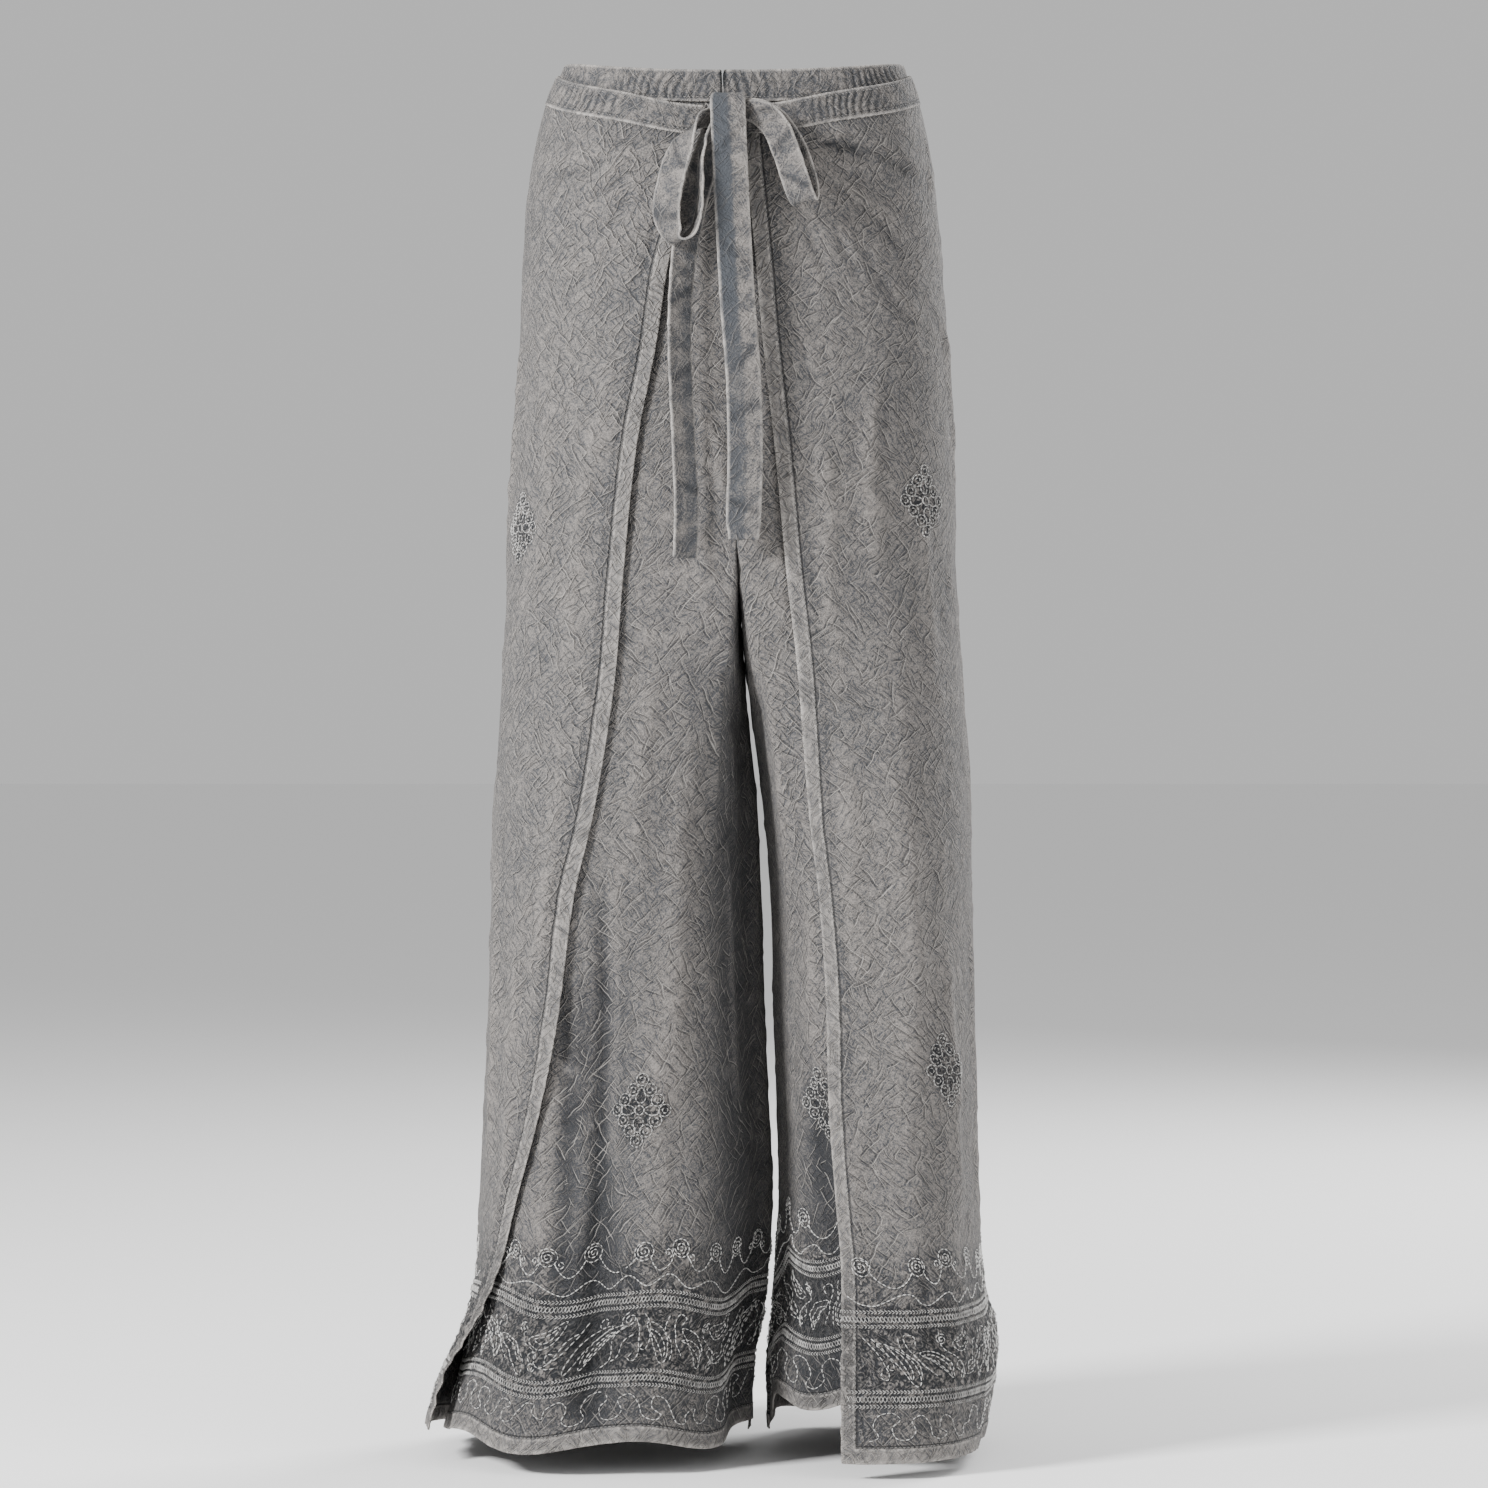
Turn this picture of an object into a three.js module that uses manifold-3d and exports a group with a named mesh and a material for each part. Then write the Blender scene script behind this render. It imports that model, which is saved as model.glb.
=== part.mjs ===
// Wrap pants, worn: two front leg panels under two wider back leg panels whose flaps
// come round the hips and tie in a bow at the front. Millimetres, +Z up, front faces -Y.
// The origin is the centre of the waist, at the height of the band's top at the sides.
// Right and left are the wearer's, so the right leg is at -X.
import * as THREE from "three";
import { mergeVertices } from "three/addons/utils/BufferGeometryUtils.js";
import Module from "manifold-3d";

// Driving dimensions
const CLOTH = 1.5; // wall of a single layer of cloth
const BAND_WALL = 2.4; // folded waistband
const TIE_WALL = 2.0; // folded tie
const TIE_WIDTH = 24;
const SEAM_GAP = 0.4;
const LAP = 4; // the front panels lie this far inside the flaps
const CROTCH_Z = -400;
const RISE = 90; // height of the rounded bottom of the crotch seam
const DROP = 280; // over this height below the crotch a leg turns from half-round to round
const HEM_Z = -1005;
const FRONT_BAND_HEIGHT = 22;
const BACK_BAND_HEIGHT = 20;
const WAIST_DIP = 14; // the waist sits lower at the centre front
const WAIST_FRONT = 92;

// A turn round a leg: 0 at the inseam, CORNER at the centre front seam, 0.5 at the outer
// side, 1 - CORNER at the centre back seam and 1 at the inseam again.
const CORNER = 0.14;
const FRONT_PANEL_END = 0.585; // the front panels end a little behind the sides
const ROUNDNESS = 2.25; // exponent of the leg's section, 2 is an ellipse

// The line between the legs, and half the space between them
const PARTING = [
  { z: 40, x: -9, gap: 0.2 },
  { z: 0, x: -9, gap: 0.2 },
  { z: -100, x: -7, gap: 0.2 },
  { z: -250, x: -2, gap: 0.2 },
  { z: -400, x: 4, gap: 0.2 },
  { z: -470, x: 10, gap: 1.2 },
  { z: -545, x: 18.5, gap: 2 },
  { z: -615, x: 23, gap: 3.4 },
  { z: -690, x: 25, gap: 3 },
  { z: -765, x: 28, gap: 2.6 },
  { z: -840, x: 30, gap: 2 },
  { z: -915, x: 25, gap: 2.6 },
  { z: -960, x: 19, gap: 5 },
  { z: -1040, x: 20, gap: 8 },
];

// How far the outer layer reaches to the side, to the front and to the back
const RIGHT_LEG = [
  { z: 40, outer: 124, front: 91, back: 88 },
  { z: 0, outer: 129, front: 92, back: 92 },
  { z: -25, outer: 139, front: 94, back: 98 },
  { z: -60, outer: 148, front: 96, back: 104 },
  { z: -100, outer: 154, front: 97, back: 110 },
  { z: -170, outer: 158, front: 98, back: 116 },
  { z: -245, outer: 161, front: 98, back: 114 },
  { z: -320, outer: 165, front: 98, back: 108 },
  { z: -395, outer: 169, front: 98, back: 104 },
  { z: -545, outer: 177, front: 101, back: 103 },
  { z: -690, outer: 181, front: 107, back: 109 },
  { z: -840, outer: 188, front: 117, back: 122 },
  { z: -900, outer: 191, front: 122, back: 129 },
  { z: -950, outer: 202, front: 127, back: 135 },
  { z: -1040, outer: 226, front: 134, back: 144 },
];
const LEFT_LEG = [
  { z: 40, outer: 122, front: 91, back: 88 },
  { z: 0, outer: 128, front: 92, back: 92 },
  { z: -25, outer: 136, front: 94, back: 98 },
  { z: -60, outer: 144, front: 96, back: 104 },
  { z: -100, outer: 149.5, front: 97, back: 110 },
  { z: -170, outer: 155, front: 98, back: 116 },
  { z: -245, outer: 159, front: 98, back: 114 },
  { z: -320, outer: 161, front: 98, back: 108 },
  { z: -395, outer: 164, front: 98, back: 104 },
  { z: -545, outer: 172, front: 101, back: 104 },
  { z: -690, outer: 175, front: 107, back: 112 },
  { z: -840, outer: 179, front: 117, back: 128 },
  { z: -900, outer: 183, front: 123, back: 136 },
  { z: -950, outer: 193, front: 128, back: 142 },
  { z: -1040, outer: 176, front: 136, back: 150 },
];

// Where the flaps' free edges lie across the front
const RIGHT_FLAP_EDGE = [
  { z: -40, x: -17 },
  { z: -100, x: -31 },
  { z: -150, x: -47 },
  { z: -213, x: -57 },
  { z: -285, x: -71 },
  { z: -380, x: -81 },
  { z: -455, x: -87 },
  { z: -550, x: -102 },
  { z: -610, x: -116 },
  { z: -700, x: -128 },
  { z: -770, x: -142 },
  { z: -830, x: -158 },
  { z: -880, x: -170 },
  { z: -925, x: -184 },
  { z: -965, x: -201 },
  { z: -1040, x: -213 },
];
const LEFT_FLAP_EDGE = [
  { z: -40, x: 5 },
  { z: -85, x: 9 },
  { z: -157, x: 16 },
  { z: -213, x: 21 },
  { z: -275, x: 28 },
  { z: -380, x: 38 },
  { z: -440, x: 45 },
  { z: -550, x: 54 },
  { z: -610, x: 61 },
  { z: -680, x: 66 },
  { z: -760, x: 68 },
  { z: -830, x: 73 },
  { z: -880, x: 77 },
  { z: -1040, x: 80 },
];

// The top of the back band along the turn: low at the knot, level round the back
const BACK_BAND_TOP = [
  { turn: 0.1, z: -42 },
  { turn: 0.18, z: -39 },
  { turn: 0.26, z: -29 },
  { turn: 0.36, z: -19 },
  { turn: 0.46, z: -9 },
  { turn: 0.56, z: -3 },
  { turn: 0.7, z: 0 },
  { turn: 1, z: 0 },
];

// The largest folds. A fold follows the line from x (or y) at z to the same at the lower
// z, and swells or sinks the cloth by depth over a half width. On "all" it moves both
// layers; on "front" only the front panels, and there it only sinks.
const RIGHT_FOLDS = [
  { layer: "front", across: "x", facing: -1, top: -560, at: -92, low: -960, to: -104, depth: -17, half: 17 },
  { layer: "front", across: "x", facing: -1, top: -640, at: -124, low: -900, to: -131, depth: -9, half: 12 },
  { layer: "front", across: "x", facing: -1, top: -350, at: 2, low: -980, to: 17, depth: -9, half: 22 },
  { layer: "all", across: "x", facing: 1, top: -250, at: -75, low: -1030, to: -118, depth: 7, half: 26 },
  { layer: "all", across: "x", facing: 1, top: -330, at: -30, low: -1030, to: -48, depth: 9, half: 24 },
  { layer: "all", across: "x", facing: 1, top: -520, at: -122, low: -1030, to: -176, depth: 6, half: 20 },
  { layer: "all", across: "y", facing: 0, top: -420, at: 34, low: -1030, to: 52, depth: 6, half: 28 },
];
const LEFT_FOLDS = [
  { layer: "all", across: "x", facing: -1, top: -330, at: 112, low: -1030, to: 136, depth: 5, half: 17 },
  { layer: "all", across: "x", facing: -1, top: -560, at: 148, low: -1030, to: 156, depth: 4, half: 12 },
  { layer: "front", across: "x", facing: -1, top: -700, at: 58, low: -1000, to: 66, depth: -12, half: 16 },
  { layer: "front", across: "x", facing: -1, top: -860, at: 36, low: -985, to: 50, depth: -8, half: 11 },
  { layer: "all", across: "x", facing: 1, top: -250, at: 72, low: -1030, to: 108, depth: 7, half: 26 },
  { layer: "all", across: "x", facing: 1, top: -330, at: 32, low: -1030, to: 58, depth: 9, half: 24 },
  { layer: "all", across: "x", facing: 1, top: -520, at: 118, low: -1030, to: 148, depth: 6, half: 18 },
  { layer: "all", across: "y", facing: 0, top: -420, at: 30, low: -1030, to: 56, depth: 6, half: 28 },
];

// Gathers that fan out over each hip from the knot: the angle below the horizontal in
// degrees, where the fold fades out and how high it stands
const GATHERS = [
  { angle: 9, reach: 95, depth: 2.2 },
  { angle: 21, reach: 135, depth: 2.6 },
  { angle: 35, reach: 165, depth: 3.0 },
  { angle: 50, reach: 185, depth: 2.6 },
  { angle: 64, reach: 170, depth: 2.0 },
];
const KNOT = { x: -5, y: -105.4, z: -47, width: 31, depth: 25, height: 25 };

const clamp = (t) => Math.min(1, Math.max(0, t));
const smooth = (t) => clamp(t) ** 2 * (3 - 2 * clamp(t));
const mix = (a, b, t) => a + (b - a) * t;

// A smooth curve through a table's rows: cubic between rows, with the mean slope at each.
function through(rows, key, column, at) {
  const order = rows[0][key] < rows[rows.length - 1][key] ? 1 : -1;
  let i = 0;
  while (i < rows.length - 2 && (at - rows[i + 1][key]) * order > 0) i++;
  const slope = (k) => {
    const a = rows[Math.max(k - 1, 0)];
    const b = rows[Math.min(k + 1, rows.length - 1)];
    return (b[column] - a[column]) / (b[key] - a[key]);
  };
  const [p, q] = [rows[i], rows[i + 1]];
  const span = q[key] - p[key];
  const t = clamp((at - p[key]) / span);
  const [t2, t3] = [t * t, t * t * t];
  return (
    (2 * t3 - 3 * t2 + 1) * p[column] +
    (t3 - 2 * t2 + t) * span * slope(i) +
    (3 * t2 - 2 * t3) * q[column] +
    (t3 - t2) * span * slope(i + 1)
  );
}

// One leg: its side of the body and its tables
const LEGS = {
  right: { side: -1, rows: RIGHT_LEG, flap: RIGHT_FLAP_EDGE, folds: RIGHT_FOLDS },
  left: { side: 1, rows: LEFT_LEG, flap: LEFT_FLAP_EDGE, folds: LEFT_FOLDS },
};

// Height of the crotch seam at a turn between the inseam and the centre seams
function seamHeight(turn) {
  const share = clamp(Math.min(turn, 1 - turn) / CORNER);
  return CROTCH_Z + RISE * (1 - Math.sqrt(1 - share * share));
}

// The turn at which a panel's inner edge lies at a height: on the centre seam above the
// crotch, round its curve, and on the inseam below it
function innerTurn(z) {
  const t = clamp((z - CROTCH_Z) / RISE);
  return CORNER * Math.sqrt(1 - (1 - t) ** 2);
}

// The plain section: half a rounded body above the crotch, a round leg below it
function section(leg, turn, z) {
  const reach = (column) => through(leg.rows, "z", column, z);
  const gap = through(PARTING, "z", "gap", z);
  const inner = through(PARTING, "z", "x", z) + leg.side * gap;
  const outer = leg.side * reach("outer");
  const [front, back] = [-reach("front"), reach("back")];
  const middle = (front + back) / 2;
  const far = turn < 0.5 ? front : back;
  const near = Math.min(turn, 1 - turn);

  const power = 2 / ROUNDNESS;
  const angle = Math.PI * 2 * near;
  const cosine = Math.cos(angle);
  const roundX = mix(inner, outer, (1 - Math.sign(cosine) * Math.abs(cosine) ** power) / 2);
  const roundY = mix(middle, far, Math.abs(Math.sin(angle)) ** power);

  let [halfX, halfY] = [inner, mix(middle, far, clamp(near / CORNER))];
  if (near > CORNER) {
    const quarter = (Math.PI / 2) * ((near - CORNER) / (0.5 - CORNER));
    halfX = mix(inner, outer, Math.sin(quarter) ** power);
    halfY = mix(middle, far, Math.max(0, Math.cos(quarter)) ** power);
  }
  const legShare = smooth((seamHeight(turn) - z) / DROP);
  return [mix(halfX, roundX, legShare), mix(halfY, roundY, legShare)];
}

// How much the folds move the cloth outwards at a point of the plain section
function foldHeight(leg, layer, turn, z, x, y) {
  let height = 0;
  for (const fold of leg.folds) {
    if (fold.layer !== "all" && fold.layer !== layer) continue;
    if (fold.facing === -1 && turn > 0.5) continue;
    if (fold.facing === 1 && turn < 0.5) continue;
    if (fold.across === "y" && Math.abs(turn - 0.5) > 0.24) continue;
    const down = (z - fold.top) / (fold.low - fold.top);
    const distance = (fold.across === "x" ? x : y) - mix(fold.at, fold.to, down);
    const fade = smooth(down * 2.5) * smooth((1.12 - down) * 8);
    height += fold.depth * fade * Math.exp(-((distance / fold.half) ** 2));
  }
  if (turn < 0.5) {
    const [across, down] = [Math.abs(x - KNOT.x), KNOT.z - z];
    const distance = Math.hypot(across, down);
    const angle = (Math.atan2(down, across) * 180) / Math.PI;
    for (const gather of GATHERS) {
      const near = smooth((distance - 16) / 30) * smooth((bandBottom(turn) - z) / 25);
      const fade = near * smooth((gather.reach - distance) / 90);
      height += gather.depth * fade * Math.exp(-(((angle - gather.angle) / 5.5) ** 2));
    }
  }
  return height;
}

// A point of the cloth: the plain section moved outwards by offset along its own normal
function point(leg, turn, z, offset) {
  const step = 0.004;
  const high = turn + step > 1 - CORNER && turn <= 1 - CORNER ? turn : Math.min(1, turn + step);
  const low = turn - step < CORNER && turn >= CORNER ? turn : Math.max(0, turn - step);
  const [ax, ay] = section(leg, low, z);
  const [bx, by] = section(leg, high, z);
  const length = Math.hypot(bx - ax, by - ay) || 1;
  const [nx, ny] = [(leg.side * (ay - by)) / length, (leg.side * (bx - ax)) / length];
  const [x, y] = section(leg, turn, z);
  return new THREE.Vector3(x - nx * offset, y - ny * offset, z);
}

// The turn where the front of a leg has a given x
function turnAtX(leg, x, z) {
  let [low, high] = [innerTurn(z), 0.5];
  for (let i = 0; i < 24; i++) {
    const middle = (low + high) / 2;
    if ((section(leg, middle, z)[0] - x) * leg.side < 0) low = middle;
    else high = middle;
  }
  return (low + high) / 2;
}

// The front panels lie inside the flaps, but come out to the seams between the legs
function frontOffset(turn, z) {
  const start = CORNER * smooth((z - CROTCH_Z + 120) / 120);
  const acrossFront = smooth((turn - start) / 0.05);
  return -LAP * Math.max(acrossFront, smooth((z - CROTCH_Z - RISE) / 60));
}

// The flaps swing clear of the front panels towards the hem
function flapOffset(leg, turn, z, edge) {
  const low = smooth((-z - 860) / 130);
  const nearEdge = smooth(1 - (turn - edge) / 0.13);
  return low * nearEdge * (leg.side < 0 ? 16 : 7);
}

// A closed wall from a grid of outer points: rows run down the cloth. The inner points
// lie a wall's thickness inside, which is to the left of a row when turn is -1, and
// keepSide holds an edge at a seam on its own side.
function wall(grid, thickness, turn = 1, keepSide = () => {}) {
  const [rows, columns] = [grid.length, grid[0].length];
  const inner = grid.map((row, i) =>
    row.map((p, j) => {
      const across = row[Math.min(j + 1, columns - 1)].clone().sub(row[Math.max(j - 1, 0)]);
      const down = grid[Math.min(i + 1, rows - 1)][j].clone().sub(grid[Math.max(i - 1, 0)][j]);
      const normal = across.cross(down).normalize();
      const q = p.clone().addScaledVector(normal, -thickness * turn);
      keepSide(q, p, i, j);
      return q;
    }),
  );
  const positions = [...grid.flat(), ...inner.flat()].flatMap((p) => [p.x, p.y, p.z]);
  const faces = [];
  const quad = (a, b, c, d) => faces.push(a, b, c, a, c, d);
  const outerAt = (i, j) => i * columns + j;
  const innerAt = (i, j) => rows * columns + i * columns + j;
  for (let i = 0; i < rows - 1; i++) {
    for (let j = 0; j < columns - 1; j++) {
      quad(outerAt(i, j), outerAt(i, j + 1), outerAt(i + 1, j + 1), outerAt(i + 1, j));
      quad(innerAt(i, j), innerAt(i + 1, j), innerAt(i + 1, j + 1), innerAt(i, j + 1));
    }
  }
  for (let j = 0; j < columns - 1; j++) {
    quad(outerAt(0, j), innerAt(0, j), innerAt(0, j + 1), outerAt(0, j + 1));
    const i = rows - 1;
    quad(outerAt(i, j), outerAt(i, j + 1), innerAt(i, j + 1), innerAt(i, j));
  }
  for (let i = 0; i < rows - 1; i++) {
    quad(outerAt(i, 0), outerAt(i + 1, 0), innerAt(i + 1, 0), innerAt(i, 0));
    const j = columns - 1;
    quad(outerAt(i, j), innerAt(i, j), innerAt(i + 1, j), outerAt(i + 1, j));
  }
  const geometry = new THREE.BufferGeometry();
  geometry.setAttribute("position", new THREE.Float32BufferAttribute(positions, 3));
  geometry.setIndex(faces);
  return facingOut(geometry);
}

// Turns a closed geometry's faces round if its signed volume is negative
function facingOut(geometry) {
  const p = geometry.attributes.position;
  const index = geometry.index.array;
  const corner = (k) => new THREE.Vector3().fromBufferAttribute(p, index[k]);
  let volume = 0;
  for (let k = 0; k < index.length; k += 3) {
    volume += corner(k).dot(corner(k + 1).cross(corner(k + 2)));
  }
  if (volume < 0) {
    for (let k = 0; k < index.length; k += 3) {
      [index[k + 1], index[k + 2]] = [index[k + 2], index[k + 1]];
    }
  }
  return geometry;
}

// Rows of a panel: fixed heights, closest together round the crotch curve
const ROW_HEIGHTS = [
  -56, -85, -120, -160, -205, -255,
  ...[90, 67.5, 45, 22.5, 0].map((a) => CROTCH_Z + RISE * (1 - Math.cos((a * Math.PI) / 180))),
  -440, -490, -545, -600, -655, -710, -765, -820, -868, -910, -945, -977, HEM_Z,
];
const TOP_ROWS_END = -255; // below this a row is level
const HEM_ROWS_START = -820;

// A row's height at one column, stretched to meet the band above and the hem below
function rowHeight(nominal, top, hem) {
  const up = clamp((nominal - TOP_ROWS_END) / (ROW_HEIGHTS[0] - TOP_ROWS_END));
  const down = clamp((HEM_ROWS_START - nominal) / (HEM_ROWS_START - HEM_Z));
  return nominal + (top - ROW_HEIGHTS[0]) * up + (hem - HEM_Z) * down;
}

// The waist's top edge dips towards the centre front
const waistTop = (y) => -WAIST_DIP * clamp(-y / WAIST_FRONT) ** 2;
const backBandTop = (turn) => through(BACK_BAND_TOP, "turn", "z", turn);
const bandBottom = (turn) => backBandTop(turn) - BACK_BAND_HEIGHT;

// The hems: waves where the cloth kicks, and the left front panel caught up on the instep
function frontHem(leg, turn) {
  const wave = 5 * Math.sin(turn * 31 + 1) + 2;
  const caught = leg.side > 0 ? 27 * smooth((0.36 - turn) / 0.1) * smooth(turn / 0.06) : 0;
  return HEM_Z + wave + caught;
}
function backHem(leg, turn) {
  const share = smooth((0.62 - turn) / 0.2);
  const wave = 4 * Math.sin(turn * 27 + 2) * (1 - share);
  return HEM_Z + wave + share * (leg.side < 0 ? 6 : -7);
}

// Keeps the inner points of a seam's edge from crossing into the piece next to it
function keepOffSeam(leg, isFront) {
  return (q, p, i, j) => {
    if (i === 0) q.z = p.z;
    if (j !== 0) return;
    if (p.z > CROTCH_Z + 1) q.x = leg.side < 0 ? Math.min(q.x, p.x) : Math.max(q.x, p.x);
    else q.y = isFront ? Math.min(q.y, p.y) : Math.max(q.y, p.y);
  };
}

// Columns of a panel: below the crotch the first ones cross the flat between the legs, so
// that one always runs down the fold at CORNER
const FRONT_COLUMNS = 20;
const FRONT_INNER_COLUMNS = 5;
const BACK_COLUMNS = 30;
const BACK_INNER_COLUMNS = 6;
function columnTurn(z, column, columns, inner, end) {
  const start = innerTurn(z);
  const even = start + ((end - start) * inner) / columns;
  const rise = smooth((z - CROTCH_Z - RISE) / 130);
  const fold = mix(CORNER + 0.03 * smooth((z - CROTCH_Z - 0.62 * RISE) / 30), even, rise);
  if (column <= inner) return mix(start, fold, column / inner);
  return mix(fold, end, (column - inner) / (columns - inner));
}

function frontPanel(leg) {
  const grid = ROW_HEIGHTS.map((nominal) => {
    const row = [];
    for (let j = 0; j <= FRONT_COLUMNS; j++) {
      const share = j / FRONT_COLUMNS;
      const top = frontBandTop(leg, mix(CORNER, FRONT_PANEL_END, share)) - FRONT_BAND_HEIGHT;
      const hem = frontHem(leg, mix(0, FRONT_PANEL_END, share));
      const z = rowHeight(nominal, top - SEAM_GAP, hem);
      const turn = columnTurn(z, j, FRONT_COLUMNS, FRONT_INNER_COLUMNS, FRONT_PANEL_END);
      const [x, y] = section(leg, turn, z);
      const lift = settled(foldHeight(leg, "front", turn, z, x, y), turn, z);
      const p = point(leg, turn, z, frontOffset(turn, z) + lift);
      if (j === 0 && z <= CROTCH_Z + 1) p.y -= SEAM_GAP / 2;
      row.push(p);
    }
    return row;
  });
  return wall(grid, CLOTH, -leg.side, keepOffSeam(leg, true));
}

// Folds fade out at the seams, and between the legs they only sink
function settled(lift, turn, z) {
  const near = Math.min(turn, 1 - turn);
  const atSeam = smooth((near - innerTurn(z)) / 0.04);
  return lift > 0 ? lift * smooth((near - CORNER) / 0.04) : lift * atSeam;
}

function backPanel(leg) {
  const grid = ROW_HEIGHTS.map((nominal) => {
    const row = [];
    for (let j = 0; j <= BACK_COLUMNS; j++) {
      const share = j / BACK_COLUMNS;
      let [z, edge, turn] = [nominal, 0, 0];
      for (let pass = 0; pass < 5; pass++) {
        edge = turnAtX(leg, through(leg.flap, "z", "x", z), z);
        turn = 1 - columnTurn(z, j, BACK_COLUMNS, BACK_INNER_COLUMNS, 1 - edge);
        const hem = backHem(leg, mix(1, edge, share));
        z = rowHeight(nominal, bandBottom(turn) - SEAM_GAP, hem);
      }
      const [x, y] = section(leg, turn, z);
      const lift = settled(foldHeight(leg, "back", turn, z, x, y), turn, z);
      const p = point(leg, turn, z, lift + flapOffset(leg, turn, z, edge));
      if (j === 0 && z <= CROTCH_Z + 1) p.y += SEAM_GAP / 2;
      row.push(p);
    }
    return row;
  });
  return wall(grid, CLOTH, leg.side, keepOffSeam(leg, false));
}

// A strip that follows the waist of one leg's half from one turn to another
function waistStrip(leg, from, to, columns, offsetAt, topOf, height, thickness) {
  const grid = [0, 0.5, 1].map((down) => {
    const row = [];
    for (let j = 0; j <= columns; j++) {
      const turn = mix(from, to, j / columns);
      const z = topOf(leg, turn) - height * down;
      row.push(point(leg, turn, z, offsetAt(turn)));
    }
    return row;
  });
  return wall(grid, thickness, -leg.side, (q, p, i, j) => {
    q.z = p.z;
    if (j === 0 || j === columns) q.x = p.x;
  });
}

const frontBandTop = (leg, turn) => waistTop(section(leg, turn, 0)[1]);
const FRONT_BAND_OFFSET = -2.5;
const BACK_BAND_OFFSET = 0.6;

function frontBand(leg) {
  const offset = () => FRONT_BAND_OFFSET;
  const columns = FRONT_COLUMNS;
  return waistStrip(leg, CORNER, FRONT_PANEL_END, columns, offset, frontBandTop, FRONT_BAND_HEIGHT, BAND_WALL);
}

// The back band runs in one piece from the knot round the back to the knot again
const BAND_START = 0.155;
function backBand() {
  const steps = 30;
  const path = [];
  for (let j = 0; j <= steps; j++) path.push([LEGS.right, mix(BAND_START, 1 - CORNER, j / steps)]);
  for (let j = steps - 1; j >= 0; j--) path.push([LEGS.left, mix(BAND_START, 1 - CORNER, j / steps)]);
  const grid = [0, 0.5, 1].map((down) =>
    path.map(([leg, turn]) => point(leg, turn, backBandTop(turn) - BACK_BAND_HEIGHT * down, BACK_BAND_OFFSET)),
  );
  return wall(grid, BAND_WALL, 1, (q, p) => {
    q.z = p.z;
  });
}

// A folded strip that follows a path. Each row gives the middle of the strip and the
// direction of its width; the path is drawn through the rows by a smooth curve.
function strip(rows, width, steps, thickness = TIE_WALL) {
  const curve = (points) => new THREE.CatmullRomCurve3(points, false, "catmullrom");
  const middle = curve(rows.map((r) => new THREE.Vector3(r.x, r.y, r.z)));
  const broad = curve(rows.map((r) => new THREE.Vector3(r.wx, r.wy, r.wz ?? 0)));
  const grid = [];
  for (let i = 0; i <= steps; i++) {
    const p = middle.getPoint(i / steps);
    const along = middle.getTangent(i / steps);
    const side = broad.getPoint(i / steps);
    side.addScaledVector(along, -side.dot(along)).normalize();
    const share = i / steps;
    const half = (typeof width === "function" ? width(share) : width) / 2;
    grid.push([-1, 0, 1].map((k) => p.clone().addScaledVector(side, k * half)));
  }
  return wall(grid, thickness);
}

const wasm = await Module();
wasm.setup();
function solidOf(geometry) {
  const bare = geometry.clone();
  bare.deleteAttribute("normal");
  bare.deleteAttribute("uv");
  const merged = mergeVertices(bare, 1e-4);
  return new wasm.Manifold(
    new wasm.Mesh({
      numProp: 3,
      vertProperties: new Float32Array(merged.attributes.position.array),
      triVerts: new Uint32Array(merged.index.array),
    }),
  );
}
function geometryOf(solid) {
  const mesh = solid.getMesh();
  const geometry = new THREE.BufferGeometry();
  geometry.setAttribute("position", new THREE.BufferAttribute(mesh.vertProperties, 3));
  geometry.setIndex([...mesh.triVerts]);
  return geometry;
}
const cut = (geometry, ...cutters) =>
  geometryOf(cutters.reduce((left, cutter) => left.subtract(solidOf(cutter)), solidOf(geometry)));

// A knot: a rounded lump, wider than it is deep
function knotShape(knot, grow = 0) {
  const shape = new THREE.SphereGeometry(0.5, 14, 10);
  shape.scale(knot.width + 2 * grow, knot.depth + 2 * grow, knot.height + 2 * grow);
  return shape.translate(knot.x, knot.y, knot.z);
}

// The bow. The loops leave the knot's sides, and the tails hang down the front.
const RIGHT_LOOP = [
  { x: -12, y: -112, z: -48, wx: 0.1, wy: -0.35, wz: 0.9 },
  { x: -26, y: -117, z: -56, wx: 0.45, wy: -0.5, wz: 0.65 },
  { x: -38, y: -121, z: -74, wx: 0.75, wy: -0.5, wz: 0.25 },
  { x: -46, y: -123, z: -100, wx: 0.85, wy: -0.5, wz: 0.1 },
  { x: -48, y: -124, z: -122, wx: 0.8, wy: -0.55, wz: 0 },
  { x: -41, y: -123, z: -138, wx: 0.55, wy: -0.8, wz: 0 },
  { x: -30, y: -122, z: -131, wx: 0.3, wy: -0.95, wz: 0 },
  { x: -25, y: -122, z: -108, wx: 0.15, wy: -0.97, wz: 0 },
  { x: -25, y: -121, z: -82, wx: 0.15, wy: -0.97, wz: 0 },
  { x: -21, y: -117.5, z: -63, wx: 0.2, wy: -0.9, wz: 0.3 },
  { x: -10, y: -112.5, z: -51, wx: 0.2, wy: -0.6, wz: 0.7 },
];
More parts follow.
